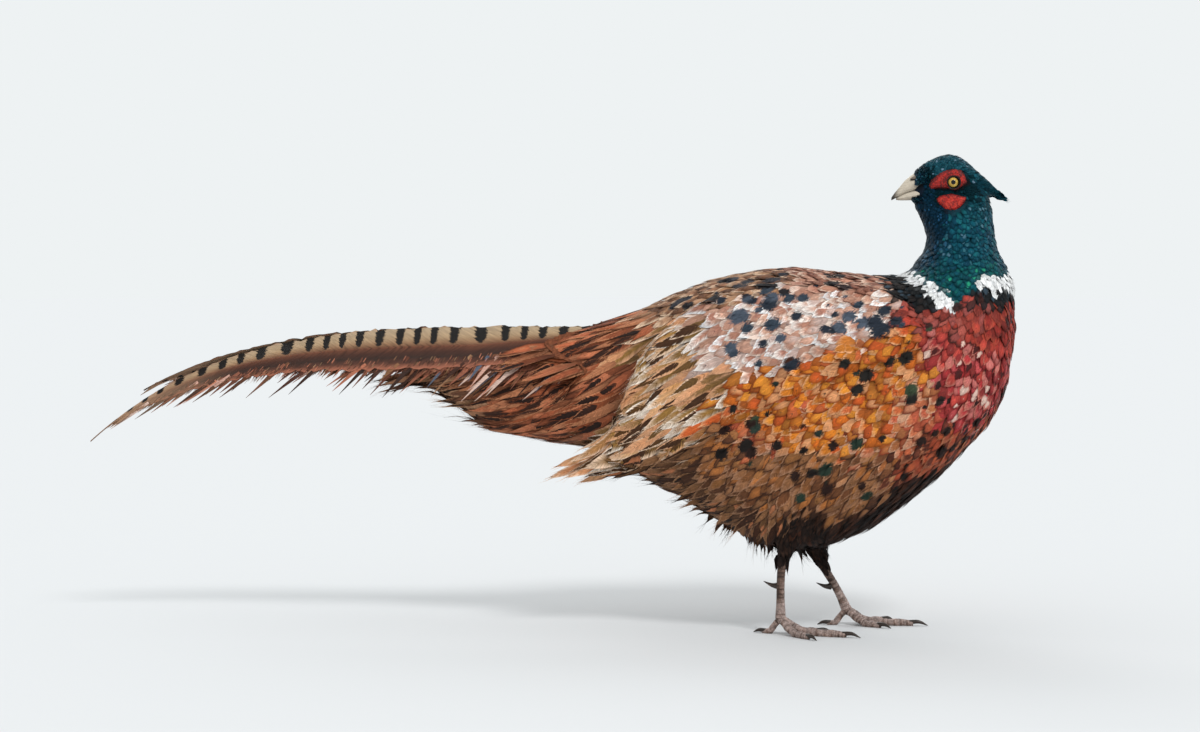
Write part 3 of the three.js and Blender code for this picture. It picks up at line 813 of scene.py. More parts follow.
def bare(points):
    """Whether a point is on the bare face, under the bill, at a tuft's end or under the tail's ridge."""
    local = to_head(points)
    ahead, beside, up = local[:, 0], np.abs(local[:, 1]), local[:, 2]
    flat = local[:, (0, 2)]
    face = np.maximum(in_lobe(flat, UPPER_LOBE), in_lobe(flat, LOWER_LOBE)) > -LOBE_CLEARANCE
    eye_away = np.linalg.norm(flat - EYE_FLAT, axis=1)
    face = (face | (eye_away < EYE_CLEARANCE)) & (beside > FACE_FROM)
    bill = (ahead > BARE_BILL[0]) & (up > BARE_BILL[1]) & (up < BARE_BILL[2])
    near_head = (ahead > BARE_HEAD[0]) & (up > BARE_HEAD[1])
    tuft_end = (ahead < TUFT_END[0]) & (up > TUFT_END[1])
    x, y, z = TAIL_RIDGE
    tail_ridge = (points[:, 0] < x) & (np.abs(points[:, 1]) < y) & (points[:, 2] > z)
    return ((face | bill) & near_head) | tuft_end | tail_ridge


def gathered():
    """All the contour feathers of the bird: where they grow and their sizes, shapes and colours."""
    middle = inside[triangles].mean(1)
    owner = shares(middle).argmax(1)
    roots = [scattered(TRACTS[name], np.flatnonzero(owner == i)) for i, name in enumerate(NAMES)]
    root = np.concatenate(roots)
    home = np.repeat(np.arange(len(NAMES)), [len(r) for r in roots])
    facing = on_skin(root)[1]
    folded = np.stack((root[:, 0], np.abs(root[:, 1]), root[:, 2]), -1)
    on_wing = (home == NAMES.index("olive")) & (root[:, 2] < WING_TOP)
    wing_edge = on_wing & (np.abs(facing[:, 1]) < WING_SIDE)
    behind_wing = (facing[:, 0] < -WING_BACK) & (folded > BEHIND_WING).all(1)
    free = ~bare(root) & ~wing_edge & ~behind_wing
    root, home, facing = root[free], home[free], facing[free]
    held = shares(root)
    pick = (chance.random(len(root))[:, None] > held.cumsum(1)).sum(1).clip(0, len(NAMES) - 1)
    count = len(root)

    def vary(spread, least, most):
        return np.clip(1 + spread * chance.standard_normal(count), least, most)

    marked = chance.random(count) < tract_values("marked")[pick]
    marks = chosen("marks", pick)
    way = lie(root)
    length = held @ tract_values("size", 0) * vary(0.1, 0.75, 1.3)
    blotch = tract_values("blotch")[pick] * vary(0.35, 0.5, 1.7)
    seeds = np.flatnonzero(marked & (blotch > 0))
    rise = held @ tract_values("size", 3)
    top = root + facing * (BLOT_HEIGHT * rise)[:, None]
    tree = KDTree(len(seeds))
    for k, i in enumerate(seeds):
        tree.insert(top[i].tolist(), k)
    tree.balance()
    shown = top + way * (SHOWN_AT * length)[:, None]
    near = [[found[1] for found in tree.find_n(point, BLOTS_NEAR)] for point in shown.tolist()]
    near = seeds[np.array(near)]
    half = held @ tract_values("size", 1) * vary(0.1, 0.75, 1.3)
    tip_rise = rise * vary(0.12, 0.7, 1.3)
    stray = chance.random(count) < STRAY_SHARE
    freedom = np.where(stray, STRAY_LOOSE, chance.uniform(0.2, 1.4, count))
    pointed = held @ tract_values("pointed") + 0.1 * chance.standard_normal(count)
    return dict(
        blot_place=top[near],
        blot_way=way[near],
        blot_size=blotch[near],
        blot_mark=marks[near],
        root=root,
        home=home,
        length=length,
        half=half,
        rise=tip_rise,
        loose=held @ tract_values("loose") * freedom,
        pointed=np.clip(pointed, 0, 1),
        edge=tract_values("edge")[pick] * vary(0.25, 0.4, 1.8),
        spot=tract_values("spot")[pick] * (marked & (blotch == 0)) * vary(0.15, 0.6, 1.4),
        ground=chosen("grounds", pick) * OWN_COLOUR + mean_colour("grounds", held) * (1 - OWN_COLOUR),
        edges=chosen("edges", pick),
        mark=marks,
        turn=0.12 * chance.standard_normal(count),
        tone=vary(0.12, 0.7, 1.35),
        own=chance.random(count),
    )


def paths(lot):
    """Middle lines of feathers over the skin, with the normals and side directions along them."""
    point, normal, index = on_skin(lot["root"])
    way = lie(point)
    turn = lot["turn"][:, None]
    lines, ups = [point], [normal]
    way = unit(way - normal * (way * normal).sum(1)[:, None])
    way = unit(way + np.cross(normal, way) * turn)
    for low, high in zip(STATIONS, STATIONS[1:]):
        step = (lot["length"] * (high - low))[:, None]
        free = point + way * step
        near, new_normal, _ = on_skin(free)
        off = np.linalg.norm(near - free, axis=1)[:, None] / step
        let_go = np.clip(eased(off, *LEAVING) + lot["loose"][:, None] * high * 0.8, 0, 1)
        new_point = near * (1 - let_go) + free * let_go
        normal = unit(new_normal * (1 - let_go) + normal * let_go)
        made = unit(new_point - point)
        plain_flow = lie(new_point)
        flow = unit(plain_flow + np.cross(normal, plain_flow) * turn)
        ahead = made * STIFF_ON_SKIN + flow * (1 - STIFF_ON_SKIN)
        flat = unit(ahead - normal * (ahead * normal).sum(1)[:, None])
        hanging = unit(made * STIFF_IN_AIR + plain_flow * (1 - STIFF_IN_AIR))
        way = unit(flat * (1 - let_go) + hanging * let_go)
        point = new_point
        lines.append(point)
        ups.append(normal)
    lines, ups = np.stack(lines, 1), np.stack(ups, 1)
    ahead = unit(np.gradient(lines, axis=1))
    sides = unit(np.cross(ups, ahead))
    return lines, np.cross(ahead, sides), sides, index


def keeps_to_lie(lines):
    """Whether each feather keeps to the lie of the plumage, which a fold of the skin can turn aside."""
    steps = unit(np.diff(lines, axis=1))
    middles = (lines[:, 1:] + lines[:, :-1]) / 2
    along = [(steps[:, k] * lie(middles[:, k])).sum(1) for k in range(steps.shape[1])]
    return np.min(along, axis=0) > LEAST_ALONG


def vanes(lot, lines, ups, sides):
    """Points of the vanes as (feather, station, across), from their middle lines."""
    count = len(lines)
    pointed = lot["pointed"][:, None]
    breadth = lot["half"][:, None] * (ROUND_TIP * (1 - pointed) + SHARP_TIP * pointed)
    ragged = 1 + RAGGED * chance.standard_normal((count, len(STATIONS), len(ACROSS))) * np.abs(ACROSS)
    half = breadth[:, :, None] * ACROSS * ragged
    height = lot["rise"][:, None] * (1 - (1 - STATIONS) ** 2) - ROOT_DEPTH * (1 - STATIONS)
    camber = CAMBER * np.abs(breadth)[:, :, None] * (1 - ACROSS**2)
    length = lot["length"][:, None, None]
    along = STATIONS[None, :, None]
    back = length * along**6 * TIP_SWEEP * ACROSS**2
    back = back + length * TIP_SPLIT * chance.standard_normal(ragged.shape) * along**3
    ahead = np.cross(sides, ups)
    return (
        lines[:, :, None]
        + sides[:, :, None] * half[..., None]
        + ups[:, :, None] * (height[:, :, None] + camber)[..., None]
        - ahead[:, :, None] * back[..., None]
    )


def quads_of(count, rows, columns):
    """Corner numbers of the faces of many grids of points."""
    grid = np.arange(rows * columns).reshape(rows, columns)
    one = np.stack((grid[:-1, :-1], grid[1:, :-1], grid[1:, 1:], grid[:-1, 1:]), -1).reshape(-1, 4)
    return (one[None] + (np.arange(count) * rows * columns)[:, None, None]).reshape(-1, 4)


def grid_mesh(name, parts):
    """A mesh of many grids of points. Each part has its points, and its attributes and maps of them."""
    quads, start = [], 0
    for part in parts:
        count, rows, columns = part["points"].shape[:3]
        quads.append(quads_of(count, rows, columns) + start)
        start += count * rows * columns
    quads = np.concatenate(quads)
    points = np.concatenate([part["points"].reshape(-1, 3) for part in parts])
    mesh = bpy.data.meshes.new(name)
    mesh.vertices.add(len(points))
    mesh.vertices.foreach_set("co", (points * MM).astype(np.float32).ravel())
    mesh.loops.add(quads.size)
    mesh.loops.foreach_set("vertex_index", quads.astype(np.int32).ravel())
    mesh.polygons.add(len(quads))
    mesh.polygons.foreach_set("loop_start", (np.arange(len(quads)) * 4).astype(np.int32))
    mesh.update(calc_edges=True)
    for key in ("ground", "edge", "mark", "marking", "lie"):
        held = [np.broadcast_to(part[key], part["points"].shape).reshape(-1, 3) for part in parts]
        held = np.concatenate(held)
        if key in ("marking", "lie"):
            keep(mesh, key, "FLOAT_VECTOR", held)
        else:
            keep(mesh, key, "FLOAT_COLOR", np.concatenate((held, np.ones((len(held), 1))), 1))
    for key in ("OFBake", "vane"):
        values = np.concatenate([part[key].reshape(-1, 2) for part in parts])
        layer = mesh.uv_layers.new(name=key)
        layer.data.foreach_set("uv", values[quads.ravel()].astype(np.float32).ravel())
    return placed(name, mesh)


def dressed(lot, points, station, across, root_map):
    """A part for grid_mesh: points of some feathers, with their place on the vane and their colours."""
    tone = lot["tone"][:, None]
    half = lot["half"][:, None, None] * across
    away = points[:, :, :, None] - lot["blot_place"][:, None, None]
    along = (away * lot["blot_way"][:, None, None]).sum(-1)
    blots = np.sqrt((away**2).sum(-1) - BLOT_STRETCH * along**2) / lot["blot_size"][:, None, None]
    nearest = blots.argmin(-1)[..., None]
    blot = np.take_along_axis(blots, nearest, -1)
    blot_mark = lot["blot_mark"][np.arange(len(points))[:, None, None], nearest[..., 0]]
    u = root_map[:, 0, None, None] + across * PATCH / 2
    v = root_map[:, 1, None, None] + (station - 0.5) * PATCH
    return {
        "points": points,
        "ground": (lot["ground"] * tone)[:, None, None],
        "edge": (lot["edges"] * tone)[:, None, None],
        "mark": np.where(blot < BLOT_REACH, blot_mark, lot["mark"][:, None, None]),
        "marking": np.stack((lot["edge"], lot["spot"], lot["own"]), -1)[:, None, None],
        "lie": np.stack((lot["length"][:, None, None] * station, half, blot[..., 0]), -1),
        "OFBake": np.stack((u, v), -1),
        "vane": np.stack((across * 0.5 + 0.5, np.minimum(station, 1)), -1),
    }


def on_vane(points, station, across):
    """Points of vanes at a station and a place across, between the points of their grids."""
    row = np.clip(np.interp(station, STATIONS, np.arange(len(STATIONS))), 0, len(STATIONS) - 1.001)
    column = np.clip(np.interp(across, ACROSS, np.arange(len(ACROSS))), 0, len(ACROSS) - 1.001)
    i, j = row.astype(int), column.astype(int)
    f, g = (row - i)[:, None], (column - j)[:, None]
    k = np.arange(len(points))
    near = points[k, i, j] * (1 - g) + points[k, i, j + 1] * g
    far = points[k, i + 1, j] * (1 - g) + points[k, i + 1, j + 1] * g
    return near * (1 - f) + far * f


def wisps(lot, points, ups, root_map, each):
    """Fine barbs that part from the vanes near their tips and soften the edges."""
    picks = np.repeat(np.arange(len(points)), each)
    mine = {key: values[picks] for key, values in lot.items()}
    count = len(picks)
    start_across = chance.uniform(-WISP_ACROSS, WISP_ACROSS, count)
    start = chance.uniform(*WISP_ROOTS, count)
    spread = chance.uniform(0.0, WISP_SPREAD, count)
    end_across = np.clip(start_across + np.sign(start_across) * spread, -1, 1)
    part_at = np.minimum(start + WISP_PART, WISP_LAST)
    own = points[picks]
    up = ups[picks, -2]
    first = on_vane(own, start, start_across)
    second = on_vane(own, part_at, (start_across + end_across) / 2)
    reach = (WISP_REACH[0] + WISP_REACH[1] * mine["loose"]) * mine["length"]
    reach = reach * chance.uniform(*WISP_SIZES, count)
    ahead = unit(second - first)
    third = second + (ahead + WISP_WAYWARD * chance.standard_normal((count, 3))) * reach[:, None]
    third = third - up * (WISP_DROOP * reach)[:, None]
    line = np.stack((first, second, third), 1) + up[:, None] * WISP_LIFT[:, None]
    side = unit(np.cross(up, ahead))[:, None, None] * WISP_SIDES[:, None]
    size = np.clip(mine["half"] / WISP_FULL_AT, *WISP_SIZES)[:, None, None, None]
    grid = line[:, :, None] + side * (WISP_SHAPE * WISP_HALF)[None, :, None, None] * size
    station = np.stack((start, part_at, np.full(count, 1.0)), 1)[:, :, None] + np.zeros(2)
    across = np.stack((start_across, end_across, end_across), 1)[:, :, None] + 0.04 * WISP_SIDES
    return dressed(mine, grid, station, across, root_map[picks])


def coat(name, lot, lines, ups, sides, index, each=10):
    """A piece of the coat from its feathers and their lines over the skin, with some wisps for each."""
    points = vanes(lot, lines, ups, sides)
    shape = points.shape[:3]
    root_map = unwrap[corners[index]].mean(1)
    station = np.broadcast_to(STATIONS[None, :, None], shape)
    across = np.broadcast_to(ACROSS, shape)
    parts = [dressed(lot, points, station, across, root_map)]
    parts.append(wisps(lot, points, ups, root_map, each))
    return grid_mesh(name, parts)


# Materials

KERATIN_IOR = 1.54
CORNEA_IOR = 1.38
DOWN_TUFT = 2.0  # width of the tufts of down
MOTTLE_SIZE = 3.846  # width of the blotches on skin and horn


def node(tree, kind, inputs=None, output=0, **settings):
    """Adds a node with its settings, gives each named input its value or link, and returns an output."""
    made = tree.nodes.new("ShaderNode" + kind)
    for key, value in settings.items():
        setattr(made, key, value)
    for key, value in (inputs or {}).items():
        if isinstance(value, bpy.types.NodeSocket):
            tree.links.new(value, made.inputs[key])
        else:
            made.inputs[key].default_value = value
    return made.outputs[output]


def new_material(name):
    """A material with its node tree and its main shader."""
    material = bpy.data.materials.new(name)
    material.use_nodes = True
    tree = material.node_tree
    return material, tree, tree.nodes["Principled BSDF"]


def plumage(name, roughness, gloss=0.0, bars=0.0):
    """Vanes of feather keratin: barbs in fine lines from a shaft, with an edge and a spot of their own
    colours, which give a soft silky shine. Gloss adds the oily shine of the neck, and bars the dark bars
    of the tail, which come once in so many millimetres."""
    material, tree, shader = new_material(name)
    ground = node(tree, "Attribute", output="Color", attribute_name="ground")
    edge = node(tree, "Attribute", output="Color", attribute_name="edge")
    mark = node(tree, "Attribute", output="Color", attribute_name="mark")
    marking = node(tree, "Attribute", output="Vector", attribute_name="marking")
    edge_share, spot_size, own = node(tree, "SeparateXYZ", {0: marking}).node.outputs
    lies = node(tree, "Attribute", output="Vector", attribute_name="lie")
    along, beside, third = node(tree, "SeparateXYZ", {0: lies}).node.outputs
    vane = node(tree, "UVMap", uv_map="vane")
    vane_across, vane_along, _ = node(tree, "SeparateXYZ", {0: vane}).node.outputs

    # Real barbs are 0.3 mm apart, drawn 1 mm apart so that they show in the render. All of a barb
    # has one number, its place along the shaft, so the streaks of the noise run along the barbs.
    across = node(tree, "Math", {0: beside}, operation="ABSOLUTE")
    barb = node(tree, "Math", {0: across, 1: -1.2, 2: along}, operation="MULTIPLY_ADD")
    along_barb = node(tree, "Math", {0: across, 1: 0.16}, operation="MULTIPLY")
    own = node(tree, "Math", {0: own, 1: 97.0}, operation="MULTIPLY")
    streak = node(tree, "CombineXYZ", {0: barb, 1: along_barb, 2: own})
    grain = node(tree, "TexNoise", {"Vector": streak, "Scale": 0.8, "Detail": 3.0})
    grain = node(tree, "MapRange", {0: grain, 1: 0.3, 2: 0.7, 3: 0.0, 4: 1.0})

    # The border of the vane, wider at its tip
    side = node(tree, "Math", {0: vane_across, 1: 2.0, 2: -1.0}, operation="MULTIPLY_ADD")
    side = node(tree, "Math", {0: side}, operation="ABSOLUTE")
    tip = node(tree, "MapRange", {0: vane_along, 1: 0.5, 2: 1.0, 3: 0.0, 4: 1.0})
    side_part = node(tree, "Math", {0: side, 1: 4.0}, operation="POWER")
    tip_part = node(tree, "Math", {0: tip, 1: 3.0}, operation="POWER")
    rim = node(tree, "Math", {0: side_part, 1: tip_part}, operation="ADD")
    rim = node(tree, "Math", {0: rim, 1: 0.3}, operation="POWER")
    rough_rim = node(tree, "Math", {0: grain, 1: 0.3, 2: rim}, operation="MULTIPLY_ADD")
    inner = node(tree, "Math", {0: edge_share, 1: -2.2, 2: 1.15}, operation="MULTIPLY_ADD")
    edging = {0: rough_rim, 1: inner, 2: 1.2}
    edging = node(tree, "MapRange", edging, interpolation_type="SMOOTHSTEP")

    # The spot of a single feather, and the blots that spread over several
    lengthwise = node(tree, "Math", {0: vane_along, 1: 0.72}, operation="SUBTRACT")
    lengthwise = node(tree, "Math", {0: lengthwise, 1: 3.0}, operation="MULTIPLY")
    away = node(tree, "CombineXYZ", {0: side, 1: lengthwise})
    away = node(tree, "VectorMath", {0: away}, "Value", operation="LENGTH")
    away = node(tree, "Math", {0: grain, 1: 0.4, 2: away}, operation="MULTIPLY_ADD")
    spot = node(tree, "Math", {0: spot_size, 1: away}, operation="SUBTRACT")
    spot = node(tree, "MapRange", {0: spot, 1: -0.3, 2: -0.08}, interpolation_type="SMOOTHSTEP")
    if not bars:
        blot = node(tree, "Math", {0: grain, 1: 0.5, 2: third}, operation="MULTIPLY_ADD")
        blot = {0: blot, 1: 1.0, 2: 1.35, 3: 1.0, 4: 0.0}
        blot = node(tree, "MapRange", blot, interpolation_type="SMOOTHSTEP")
        spot = node(tree, "Math", {0: spot, 1: blot}, operation="MAXIMUM")
    colour = node(tree, "Mix", {0: edging, 6: ground, 7: edge}, 2, data_type="RGBA")
    colour = node(tree, "Mix", {0: spot, 6: colour, 7: mark}, 2, data_type="RGBA")

    # The dark bars of the tail, which fade where the third number of the lie is high
    if bars:
        bar = node(tree, "Math", {0: along, 1: 2 * math.pi / bars}, operation="MULTIPLY")
        bar = node(tree, "Math", {0: grain, 1: 1.0, 2: bar}, operation="MULTIPLY_ADD")
        bar = node(tree, "Math", {0: bar}, operation="SINE")
        bar = node(tree, "Math", {0: bar, 1: third}, operation="SUBTRACT")
        bar = node(tree, "MapRange", {0: bar, 1: 0.0, 2: 0.22}, interpolation_type="SMOOTHSTEP")
        colour = node(tree, "Mix", {0: bar, 6: colour, 7: linear("15110f")}, 2, data_type="RGBA")

    # Each barb's own shade, a painted shade that darkens the vane towards its root where other feathers
    # lie over it, and the pale shaft
    barb = node(tree, "Math", {0: barb, 1: 2 * math.pi}, operation="MULTIPLY")
    barb = node(tree, "Math", {0: barb}, operation="SINE")
    shade = node(tree, "MapRange", {0: grain, 1: 0.0, 2: 1.0, 3: 0.72, 4: 1.28})
    shade = node(tree, "Math", {0: barb, 1: 0.1, 2: shade}, operation="MULTIPLY_ADD")
    # Painted shade: the vane darker towards its root, where the feathers above cover it
    painted_root_shade = node(tree, "MapRange", {0: vane_along, 1: 0.1, 2: 0.6, 3: 0.45, 4: 1.0})
    shade = node(tree, "Math", {0: shade, 1: painted_root_shade}, operation="MULTIPLY")
    colour = node(tree, "VectorMath", {0: colour, "Scale": shade}, operation="SCALE")
    shaft = {0: across, 1: 0.15, 2: 0.5, 3: 1.0, 4: 0.0}
    shaft = node(tree, "MapRange", shaft, interpolation_type="SMOOTHSTEP")
    lighter = node(tree, "VectorMath", {0: colour, "Scale": 1.5}, operation="SCALE")
    faint = node(tree, "Math", {0: shaft, 1: 0.5}, operation="MULTIPLY")
    colour = node(tree, "Mix", {0: faint, 6: colour, 7: lighter}, 2, data_type="RGBA")

    relief = node(tree, "Math", {0: shaft, 1: 1.5, 2: barb}, operation="MULTIPLY_ADD")
    bump = node(tree, "Bump", {"Strength": 0.35, "Distance": 0.3 * MM, "Height": relief})
    tree.links.new(colour, shader.inputs["Base Color"])
    tree.links.new(bump, shader.inputs["Normal"])
    shader.inputs["Roughness"].default_value = roughness
    shader.inputs["IOR"].default_value = KERATIN_IOR
    shader.inputs["Specular IOR Level"].default_value = 0.16
    if gloss:
        shader.inputs["Specular IOR Level"].default_value = gloss
        shader.inputs["Specular Tint"].default_value = linear("3fb8c8")
    return material


def skin_finish():
    """Skin under down: the colours of the plumage over it, soft and without shine."""
    material, tree, shader = new_material("skin_under_down")
    ground = node(tree, "Attribute", output="Color", attribute_name="ground")
    place = node(tree, "TexCoord", output="Object")
    down = node(tree, "TexNoise", {"Vector": place, "Scale": 1 / (DOWN_TUFT * MM), "Detail": 4.0})
    shade = node(tree, "MapRange", {0: down, 1: 0.3, 2: 0.7, 3: 0.3, 4: 0.7})
    colour = node(tree, "VectorMath", {0: ground, "Scale": shade}, operation="SCALE")
    bump = node(tree, "Bump", {"Strength": 0.5, "Distance": 0.5 * MM, "Height": down})
    tree.links.new(colour, shader.inputs["Base Color"])
    tree.links.new(bump, shader.inputs["Normal"])
    shader.inputs["Roughness"].default_value = 0.9
    shader.inputs["Specular IOR Level"].default_value = 0.2
    return material


feather = {name: plumage(f"feather_vane_{name}", *look) for name, (_, *look) in PIECES.items()}
finish(skin, skin_finish(), FLESH)

everything = gathered()
piece_of = np.array([TRACTS[name]["piece"] for name in NAMES])[everything["home"]]
TAKES_PLACE_OF = {"wing_panel": "flight_feathers", "head": "ear_tuft"}
for piece, (slot, *_) in PIECES.items():
    for side_name, side in SIDES:
        here = (piece_of == piece) & (everything["root"][:, 1] * side > 0)
        nodes = (f"{TAKES_PLACE_OF[piece]}_{side_name}",) if piece in TAKES_PLACE_OF else ()
        lot = {key: values[here] for key, values in everything.items()}
        laid = paths(lot)
        straight = keeps_to_lie(laid[0]) | (lot["root"][:, 0] > FOLDS_AHEAD)
        lot = {key: values[straight] for key, values in lot.items()}
        laid = [values[straight] for values in laid]
        finish(coat(f"{piece}_feathers_{side_name}", lot, *laid), feather[piece], nodes)


# The tail

TAIL_ACROSS = np.linspace(-1, 1, 9)
TAIL_STEP = 4.0  # between the rows of a tail feather's points
TAIL_THICK = 0.5
TIP_REACH = 1.022  # the fine soft tip runs a little past the solid's
FRINGE_STEP = 1.1  # between the loose barbs along the lower edge
BAR_SPACING = 16.5
TAIL_ROUGHNESS = 0.6
TAIL_GROUND = {  # share of the width from the ridge, and the colour there
    "place": (0.0, 0.3, 0.42, 0.52, 0.7, 0.86, 1.0),
    "colour": ("bea688", "b49572", "8a5f42", "643626", "2c201a", "4e2f24", "b06c52"),
}
TAIL_TIP = "a88468"
TAIL_RUST = "b0705a"
SHAFT_HEIGHT = 0.5
STRAND_COLOURS = ("5c6474", "d8a896", "e6c4b4")  # slate and pale pink, of the loose strands
STRAND_SIDES = np.array((-1.0, 0.0, 1.0))
FRINGE = (  # barbs, then the longer strands, of which a share has the strands' own colours
    dict(one_in=1, reach=0.24, half=0.35, slant=9, drop=1.0, dyed=0.0),
    dict(one_in=10, reach=0.85, half=1.9, slant=30, drop=2.2, dyed=0.35),
)


def tail_place(side, number, t, across):
    """Points of a tail feather's outer face. T runs from root to tip, and across from the ridge to the
    lower edge."""
    ahead, width = TAIL_PAIRS[number][1:]
    tip = TAIL_TIP_X + ahead + (LEFT_TIP_AHEAD if side > 0 and number == 0 else 0)
    x = TAIL_ROOT[0] + (tip - TAIL_ROOT[0]) * t
    drop = TAIL_DROP["left" if side > 0 else "right"]
    ridge = TAIL_ROOT[1] - drop * ((TAIL_ROOT[0] - x) / (TAIL_ROOT[0] - TAIL_TIP_X)) ** TAIL_CURVE
    broad = np.minimum(0.45 + 2.2 * t, 1) - np.maximum((t - 0.36) / 0.64, 0) ** 1.7
    broad = np.maximum(broad, 0.03)
    out = 1 + 2.6 * number + (across + 1) / 2 * width * broad
    lift = TAIL_ARCH * (1 - across**2) * broad - 1.5 * number
    y = side * (out * math.cos(TAIL_SLOPE) + lift * math.sin(TAIL_SLOPE))
    z = ridge - out * math.sin(TAIL_SLOPE) + lift * math.cos(TAIL_SLOPE)
    return np.stack(np.broadcast_arrays(x, y, z), -1)


def tail_colour(share, t):
    """Ground colour at a share of the width, paler towards the tip."""
    table = tints(TAIL_GROUND["colour"]) * LIT
    colours = np.stack([np.interp(share, TAIL_GROUND["place"], table[:, k]) for k in range(3)], -1)
    pale = 0.75 * eased(np.asarray(t, float), 0.7, 0.97)[..., None]
    return colours * (1 - pale) + tints([TAIL_TIP])[0] * pale


def tail_part(points, along, station, across, ground, own):
    """A part for grid_mesh of a tail feather or of the barbs and strands along it."""
    share = (across + 1) / 2
    shape = points.shape[:3]
    half = 20 * across
    fading = 0.1 + 0.3 * share + 1.4 * eased(share, 0.3, 0.6)
    along = along + 4 * np.sin(along / 31) + 2.5 * np.sin(along / 12.7 + 1)
    unwrapped = (0.01 + 0.98 * station, 0.02 + 0.44 * np.clip(share, 0, 1))
    marking = np.stack((0.1 + 0 * own, 0 * own, own), -1)[:, None, None]
    return {
        "points": points,
        "ground": ground,
        "edge": ground * 0.55 + tints([TAIL_RUST])[0] * 0.3,
        "mark": ground * 0.4,
        "marking": np.broadcast_to(marking, (*shape, 3)),
        "lie": np.stack(np.broadcast_arrays(along, half, fading), -1),
        "OFBake": np.stack(np.broadcast_arrays(*unwrapped), -1),
        "vane": np.stack(np.broadcast_arrays(0.5 + 0.42 * across, 0.6 + 0.3 * station), -1),
    }


def fringe(side, number, length, outward, kind):
    """Loose barbs or strands that hang from a tail feather's lower edge, as a part for grid_mesh."""
    many = int(length / FRINGE_STEP) // kind["one_in"]
    start = np.sort(chance.uniform(0.02, 0.97, many))
    flow = np.array((0.0, 0.45, 1.0))
    size = chance.uniform(0.5, 1.2, many)[:, None]
    run = np.minimum(start[:, None] + kind["slant"] / length * size * flow, 1.03)
    begin = chance.uniform(0.4, 0.9, many)[:, None]
    down = begin + (1 - begin + kind["reach"] * size) * flow
    line = tail_place(side, number, run, down)
    line = line + outward * (0.3 * (1 - flow) - 0.8 * flow**2)[None, :, None]
    line[..., 2] -= (kind["drop"] * flow**2 * size) * (0.5 + 3 * (1 - start[:, None]))
    ahead_way = unit(np.gradient(line, axis=1))
    beside = unit(np.cross(ahead_way, outward))[:, :, None]
    taper = np.array((0.7, 1.0, 0.06))[None, :, None, None] * kind["half"]
    grid = line[:, :, None] + beside * taper * STRAND_SIDES[:, None]
    hue = tail_colour(np.clip(chance.uniform(0.35, 1.2, many), 0, 1), start)
    hue = hue * chance.uniform(0.6, 1.5, many)[:, None]
    if kind["dyed"]:
        dye = chance.integers(0, len(STRAND_COLOURS), many)
        dyed = chance.random(many) < kind["dyed"]
        hue[dyed] = tints(STRAND_COLOURS)[dye[dyed]] * LIT
    share = np.clip(down, -1, 1)[:, :, None] + 0.02 * STRAND_SIDES
    station = np.clip(run, 0, 1)[:, :, None]
    part = tail_part(grid, (length * run)[:, :, None], station, share, hue[:, None, None], start)
    part["ground"] = np.broadcast_to(hue[:, None, None], grid.shape)
    part["edge"] = part["mark"] = part["ground"] * 0.7
    middle = np.stack((0.01 + 0.98 * start, np.full(many, 0.4)), -1)[:, None, None]
    part["OFBake"] = middle + (part["vane"] - 0.5) * PATCH
    return part


def tail_feather(side_name, side, number):
    """One feather of the tail: an upper and a lower face with a raised shaft, and its fringe."""
    name, ahead, _ = TAIL_PAIRS[number]
    length = TAIL_ROOT[0] - TAIL_TIP_X - ahead
    rows = int(length / TAIL_STEP)
    t = np.linspace(0, TIP_REACH, rows)[None, :, None]
    station = np.minimum(t, 1)
    frayed = 1 + 0.05 * chance.standard_normal((1, rows, 1)) * np.abs(TAIL_ACROSS) ** 4
    across = TAIL_ACROSS[None, None] * frayed
    outward = np.array((0.0, side * math.sin(TAIL_SLOPE), math.cos(TAIL_SLOPE)))
    shaft = np.exp(-((across / 0.06) ** 2))[..., None] * SHAFT_HEIGHT
    upper = tail_place(side, number, t, across) + outward * shaft
    own = np.array((0.37 + 0.05 * number,))
    colours = tail_colour((across + 1) / 2, t + 0 * across)
    top = tail_part(upper, length * t + 7 * number, station, across, colours, own)
    under = dict(top, points=upper[:, :, ::-1] - outward * TAIL_THICK)
    under["ground"] = tail_colour((across[:, :, ::-1] + 1) / 2, t + 0 * across) * 0.6
    under["OFBake"] = top["OFBake"] + np.array((0.0, 0.5))
    parts = [top, under] + [fringe(side, number, length, outward, kind) for kind in FRINGE]
    vane = grid_mesh(f"{name}_{side_name}_vane", parts)
    return finish(vane, feather["tail"], (f"{name}_{side_name}",))


feather["tail"] = plumage("feather_vane_tail", TAIL_ROUGHNESS, bars=BAR_SPACING)
for side_name, side in SIDES:
    for number in range(len(TAIL_PAIRS)):
        tail_feather(side_name, side, number)


# The head's bare parts


